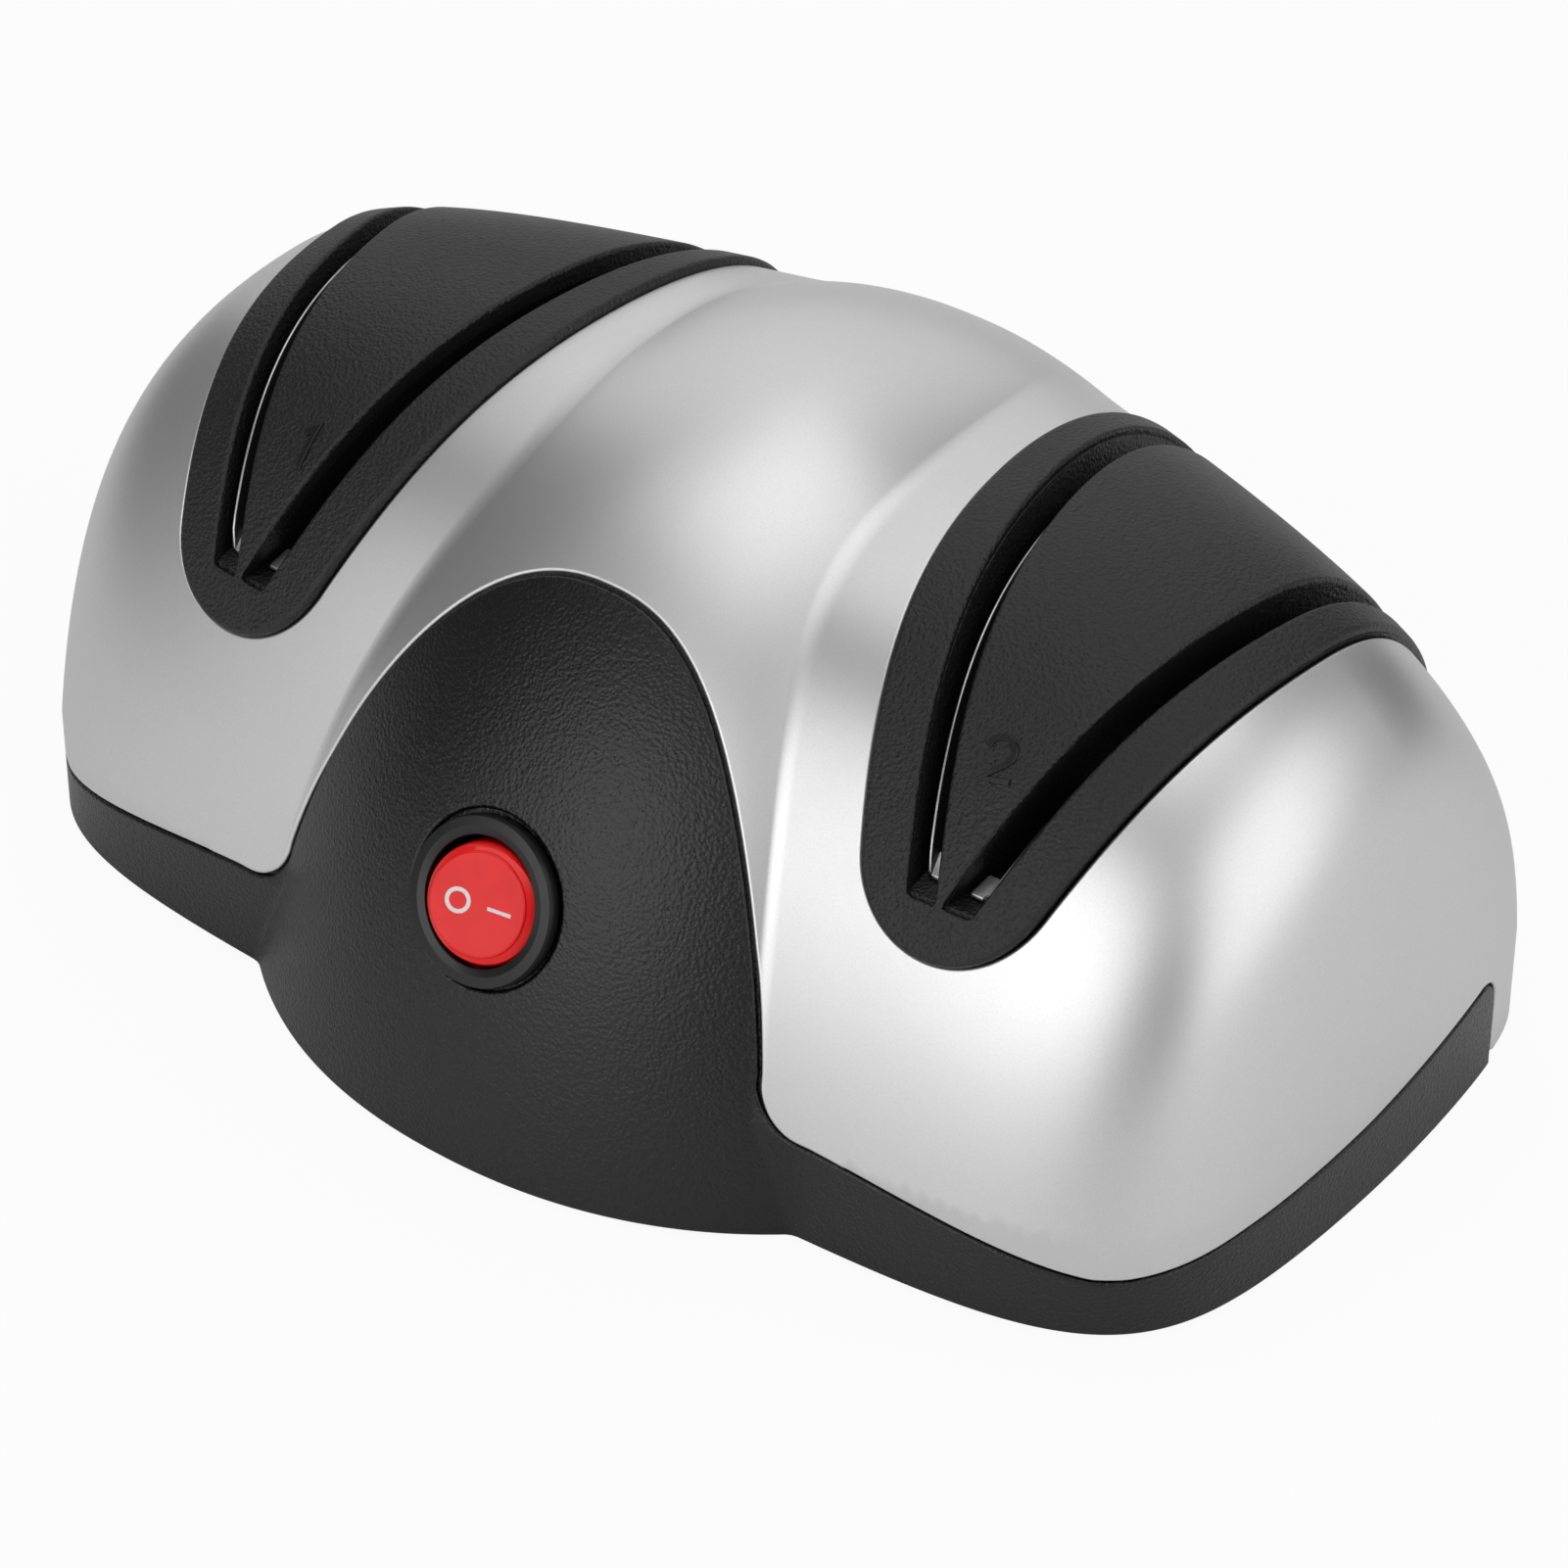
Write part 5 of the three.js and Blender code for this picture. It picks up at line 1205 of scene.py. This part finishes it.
def buildFeet():
    f = feet
    low, dish, radius = f["low"], f["low"] + f["dish"], f["radius"]
    profile = roundedProfile([
        (0, dish, 0), (radius - f["dishInset"], dish, 0.3), (radius - f["rimInset"], low, 0.1),
        (radius, low, f["edge"]), (radius, f["high"], 0.2), (0, f["high"], 0),
    ])
    recipe = Recipe("feet", length=f["across"] / 1000, depth=f["depth"] / 1000, middle=framePoint(0, 0, 0))
    copies = cornerCopies(recipe, recipe.given("Geometry"))
    recipe.make(copies, "rubber", "rubber_feet", *turnedRings(profile, f["columns"]), "casing",
                cornerNames("_foot"), "rubber")
    print("feet: four from one")


def buildScrews():
    s = screws
    low, neck, end = s["low"], s["low"] + s["headHeight"], s["low"] + s["length"]
    root, pitch = s["radius"] - s["thread"], s["pitch"]
    profile = roundedProfile([
        (0, low, 0), (s["head"], low, 0.9), (s["head"], neck, 0.15), (s["radius"] - s["neckCut"], neck, 0),
    ])
    for height in np.arange(neck + s["plain"], end - s["tip"], pitch):
        profile += [(root, height), (s["radius"], height + pitch * s["crest"]),
                    (root, height + pitch * s["valley"])]
    profile += [(s["tipRadius"], end), (0, end)]
    recipe = Recipe("screws", length=s["across"] / 1000, depth=s["depth"] / 1000,
                    middle=framePoint(0, s["middleY"], 0),
                    cross=s["cross"] / 1000, arm=s["arm"] / 1000, sunk=s["sunk"] / 1000)
    given = recipe.given
    bars = []
    for first, second in (("cross", "arm"), ("arm", "cross")):
        size = recipe.add("ShaderNodeCombineXYZ", {0: given(first), 1: given(second), 2: given("sunk")})
        bars.append(recipe.add("GeometryNodeMeshCube", {"Size": size}))
    both = recipe.add("GeometryNodeMeshBoolean", {1: bars}, operation="UNION")
    sunk = recipe.add("GeometryNodeTransform", {0: both, "Translation": (0, 0, low / 1000)})
    cut = recipe.add("GeometryNodeMeshBoolean", {0: given("Geometry"), 1: sunk}, operation="DIFFERENCE")
    recipe.make(cornerCopies(recipe, cut), "zinc", "casing_screws",
                *turnedRings(profile, s["columns"]), "casing", cornerNames("_housing_screw"), "steel")
    print("screws: four from one")


# Grinding wheels: a turned ring, its faces roughened by noise, and a second one turned about
wheels = {
    "bore": 4.5, "radius": 18, "inner": 4.4, "rim": 7.9, "hub": 10, "hubRadius": 8,
    "corner": 0.3, "spacing": 0.7, "columns": 150, "grit": 0.09, "detail": 2.0, "noiseMiddle": 0.55,
}
# Side of the casing, scale of the noise, finish and slot
bays = {"coarse": (-1, 1100.0, "coarseGrit", "coarse_grit"), "fine": (1, 1900.0, "fineGrit", "fine_grit")}


def buildWheels(name, side, scale, finishName, slotName):
    w = wheels
    corners = [
        (w["bore"], w["inner"]), (w["radius"], w["inner"]), (w["radius"], w["rim"]),
        (w["hubRadius"], w["hub"]), (w["bore"], w["hub"]),
    ]
    profile = []
    for i, corner in enumerate(corners):
        after = corners[(i + 1) % len(corners)]
        profile += roundCorner(corners[i - 1], corner, after, w["corner"], 3)
        length = math.dist(corner, after)
        profile += [[corner[k] + (after[k] - corner[k]) * share for k in (0, 1)]
                    for share in np.linspace(0, 1, int(length / w["spacing"]) + 1)[1:-1]
                    if length * min(share, 1 - share) > w["spacing"] / 2]
    points, faces = turnedRings(profile, w["columns"], True)
    middle = framePoint(side * guide["centreX"], shaft["y"], shaft["z"])
    recipe = Recipe(name + " wheels", middle=middle, grit=w["grit"] / 1000, scale=scale)
    add, given = recipe.add, recipe.given
    noise = add("ShaderNodeTexNoise", {"Scale": given("scale"), "Detail": w["detail"]})
    centred = add("ShaderNodeMath", {0: noise, 1: w["noiseMiddle"]}, operation="SUBTRACT")
    depth = add("ShaderNodeMath", {0: centred, 1: given("grit")}, operation="MULTIPLY")
    outward = add("GeometryNodeInputNormal")
    push = add("ShaderNodeVectorMath", {0: outward, "Scale": depth}, operation="SCALE")
    rough = add("GeometryNodeSetPosition", {0: given("Geometry"), "Offset": push})
    line = {"Count": 2, "Start Location": given("middle"), "Offset": (0, 0, 0)}
    pair = add("GeometryNodeMeshLine", line)
    half = add("ShaderNodeMath", {0: add("GeometryNodeInputIndex"), 1: math.pi}, operation="MULTIPLY")
    facing = add("ShaderNodeCombineXYZ", {2: half})
    copies = add("GeometryNodeInstanceOnPoints", {"Points": pair, "Instance": rough, "Rotation": facing})
    piece = recipe.make(copies, finishName, name + "_wheels", points[:, [2, 0, 1]], faces,
                        "rotor", pairOf(name + "_", "outer", "inner", "_wheel"), slotName)
    faceOutward(piece)


def buildGland():
    g = gland
    hole, neck, flange, inner = (g[k] / 2 for k in ("bore", "neck", "flange", "innerFlange"))
    (y0, y1), (y2, y3) = g["inside"], g["outside"]
    corners = [
        (hole, y3, 0.5), (hole, y0, 0.4), (inner, y0, 0.4), (inner, y1, 0.2),
        (neck, y1, 0), (neck, y2, 0), (flange, y2, 0.2), (flange, y3, 0.9), (hole, y3, 0),
    ]
    points, faces = turnedRings(roundedProfile(corners)[:-1], g["columns"], True)
    places = np.column_stack([points[:, 0], points[:, 2], points[:, 1] + g["z"]])
    piece = smoothPiece("cord_bush", places, faces, "rubber", "casing", ["cord_gland"])
    faceOutward(piece)


buildFeet()
buildScrews()
buildGland()
for wheelName, wheelSpec in bays.items():
    buildWheels(wheelName, *wheelSpec)
print("wheels:", len(bays), "pairs")
buildSwitch()
buildNumerals()
for leafName, leafSpec in leaves.items():
    buildLeaf(leafName, *leafSpec)
print("leaves:", len(leaves))


# CAD nodes that keep their shape take the scene's finishes
def leftAndRight(kind):
    return pairOf("", "left", "right", "_" + kind)


nodeFinishes = {
    "steel": ["motor_shaft"] + pairOf("coarse_", "outer", "inner", "_collar")
        + pairOf("fine_", "outer", "inner", "_collar"),
    "zinc": ["motor_can"] + leftAndRight("motor_strap") + leftAndRight("strap_screw")
        + leftAndRight("board_screw"),
    "copper": ["armature_windings", "commutator"] + leftAndRight("switch_terminal"),
    "bronze": leftAndRight("motor_bush") + leftAndRight("shaft_bush"),
    "lamination": ["armature_core"],
    "hubPlastic": ["coarse_wheel_hub", "fine_wheel_hub", "motor_brush_cap", "motor_end_cap"],
    "ferrite": pairOf("", "upper", "lower", "_field_magnet"),
    "carbon": pairOf("", "front", "back", "_carbon_brush"),
    "board": ["circuit_board"],
    "capacitor": ["suppressor_capacitor"],
    "resin": ["bridge_rectifier"],
    "wireBrown": ["left_switch_wire", "front_motor_wire"],
    "wireBlue": ["right_switch_wire", "back_motor_wire"],
}
for finishName, nodeNames in nodeFinishes.items():
    for nodeName in nodeNames:
        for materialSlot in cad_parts[nodeName].material_slots:
            materialSlot.material = finishes[finishName]
print("carried-over nodes:", sum(len(names) for names in nodeFinishes.values()))


# Studio: floor, lamps, sky and camera
studio = {
    "azimuth": 37.583, "elevation": 36.961, "roll": 0.132, "distance": 800.849,
    "target": (10.924, -10.518, 30.901), "lens": 136.92, "sensor": 36, "clip": (0.05, 20),
    "floorSize": 6.0, "floorGrey": 0.8, "floorRough": 0.7, "floorShow": 0.93, "floorGloss": 0.07,
    "skyLow": 0.13, "skyHigh": 0.22, "lampDistance": 1.3, "lampCentre": (0, 0, 0.04),
    "lamps": {
        "front": {"azimuth": -7, "elevation": 22, "halfWidth": 24, "halfHeight": 21, "level": 1.75},
        "right": {"azimuth": 91, "elevation": 29, "halfWidth": 34, "halfHeight": 28, "level": 1.2},
        "top": {"azimuth": -110, "elevation": 85, "halfWidth": 24, "halfHeight": 23, "level": 1.1},
        "back": {"azimuth": -144, "elevation": 31, "halfWidth": 34, "halfHeight": 27, "level": 0.61},
    },
}


# Unit vector towards an azimuth from the front, positive to the right, and an elevation
def towards(spec):
    azimuth, elevation = math.radians(spec["azimuth"]), math.radians(spec["elevation"])
    return Vector((
        math.sin(azimuth) * math.cos(elevation),
        -math.cos(azimuth) * math.cos(elevation),
        math.sin(elevation),
    ))


def buildCamera():
    azimuth, roll = math.radians(studio["azimuth"]), math.radians(studio["roll"])
    back = towards(studio)
    right = Vector((math.cos(azimuth), math.sin(azimuth), 0))
    turnedRight = right * math.cos(roll) + back.cross(right) * math.sin(roll)
    turn = Matrix((turnedRight, back.cross(turnedRight), back)).transposed().to_4x4()
    lens = bpy.data.cameras.new("camera")
    lens.lens = studio["lens"]
    lens.sensor_width = studio["sensor"]
    lens.clip_start, lens.clip_end = studio["clip"]
    camera = newObject("camera", lens)
    place = Vector(framePoint(*studio["target"])) + back * studio["distance"] / 1000
    camera.matrix_world = Matrix.Translation(place) @ turn
    bpy.context.scene.camera = camera


def buildLamps():
    distance = studio["lampDistance"]
    for name, lamp in studio["lamps"].items():
        data = bpy.data.lights.new(name, "AREA")
        data.shape = "RECTANGLE"
        data.size = 2 * distance * math.tan(math.radians(lamp["halfWidth"]))
        data.size_y = 2 * distance * math.tan(math.radians(lamp["halfHeight"]))
        data.energy = lamp["level"] * data.size * data.size_y * math.pi
        light = newObject(name, data)
        way = towards(lamp)
        light.location = way * distance + Vector(studio["lampCentre"])
        light.rotation_euler = way.to_track_quat("Z", "Y").to_euler()


# The floor is nearly white to the camera, and plain grey to the light
def buildFloor():
    half = studio["floorSize"] / 2
    corners = np.array([(-half, -half, 0), (half, -half, 0), (half, half, 0), (-half, half, 0)])
    floor = newMesh("floor", corners, [(0, 1, 2, 3)])
    finish = Finish("white floor", Roughness=studio["floorRough"], Base_Color=grey(studio["floorGrey"]))
    glow = finish.add("ShaderNodeEmission", {"Color": grey(1), "Strength": 1.0})
    seen = finish.add("ShaderNodeLightPath", output="Is Camera Ray")
    mirrored = finish.add("ShaderNodeLightPath", output="Is Glossy Ray")
    share = seen * studio["floorShow"] + mirrored * studio["floorGloss"]
    mix = finish.add("ShaderNodeMixShader", {0: share, 1: finish.shader.outputs[0], 2: glow})
    feed(finish.tree, finish.tree.nodes["Material Output"].inputs["Surface"], mix)
    floor.materials.append(finish.material)
    newObject("floor", floor)


# The sky is white to the camera and dim to the object, which the lamps light
def buildSky():
    world = bpy.data.worlds.new("studio")
    world.use_nodes = True
    tree = world.node_tree
    ground = tree.nodes["Background"]
    ground.inputs["Color"].default_value = grey(1)
    place = addNode(tree, "ShaderNodeTexCoord", output="Generated")
    climb = addNode(tree, "ShaderNodeSeparateXYZ", {0: place}, "Z")
    sky = {"Value": climb, "To Min": studio["skyLow"], "To Max": studio["skyHigh"]}
    seen = addNode(tree, "ShaderNodeLightPath", output="Is Camera Ray")
    mix = {"Value": seen, "To Min": addNode(tree, "ShaderNodeMapRange", sky), "To Max": 1.0}
    feed(tree, ground.inputs["Strength"], addNode(tree, "ShaderNodeMapRange", mix))
    bpy.context.scene.world = world


buildCamera()
buildLamps()
buildFloor()
buildSky()
bpy.context.scene.view_settings.view_transform = "Standard"
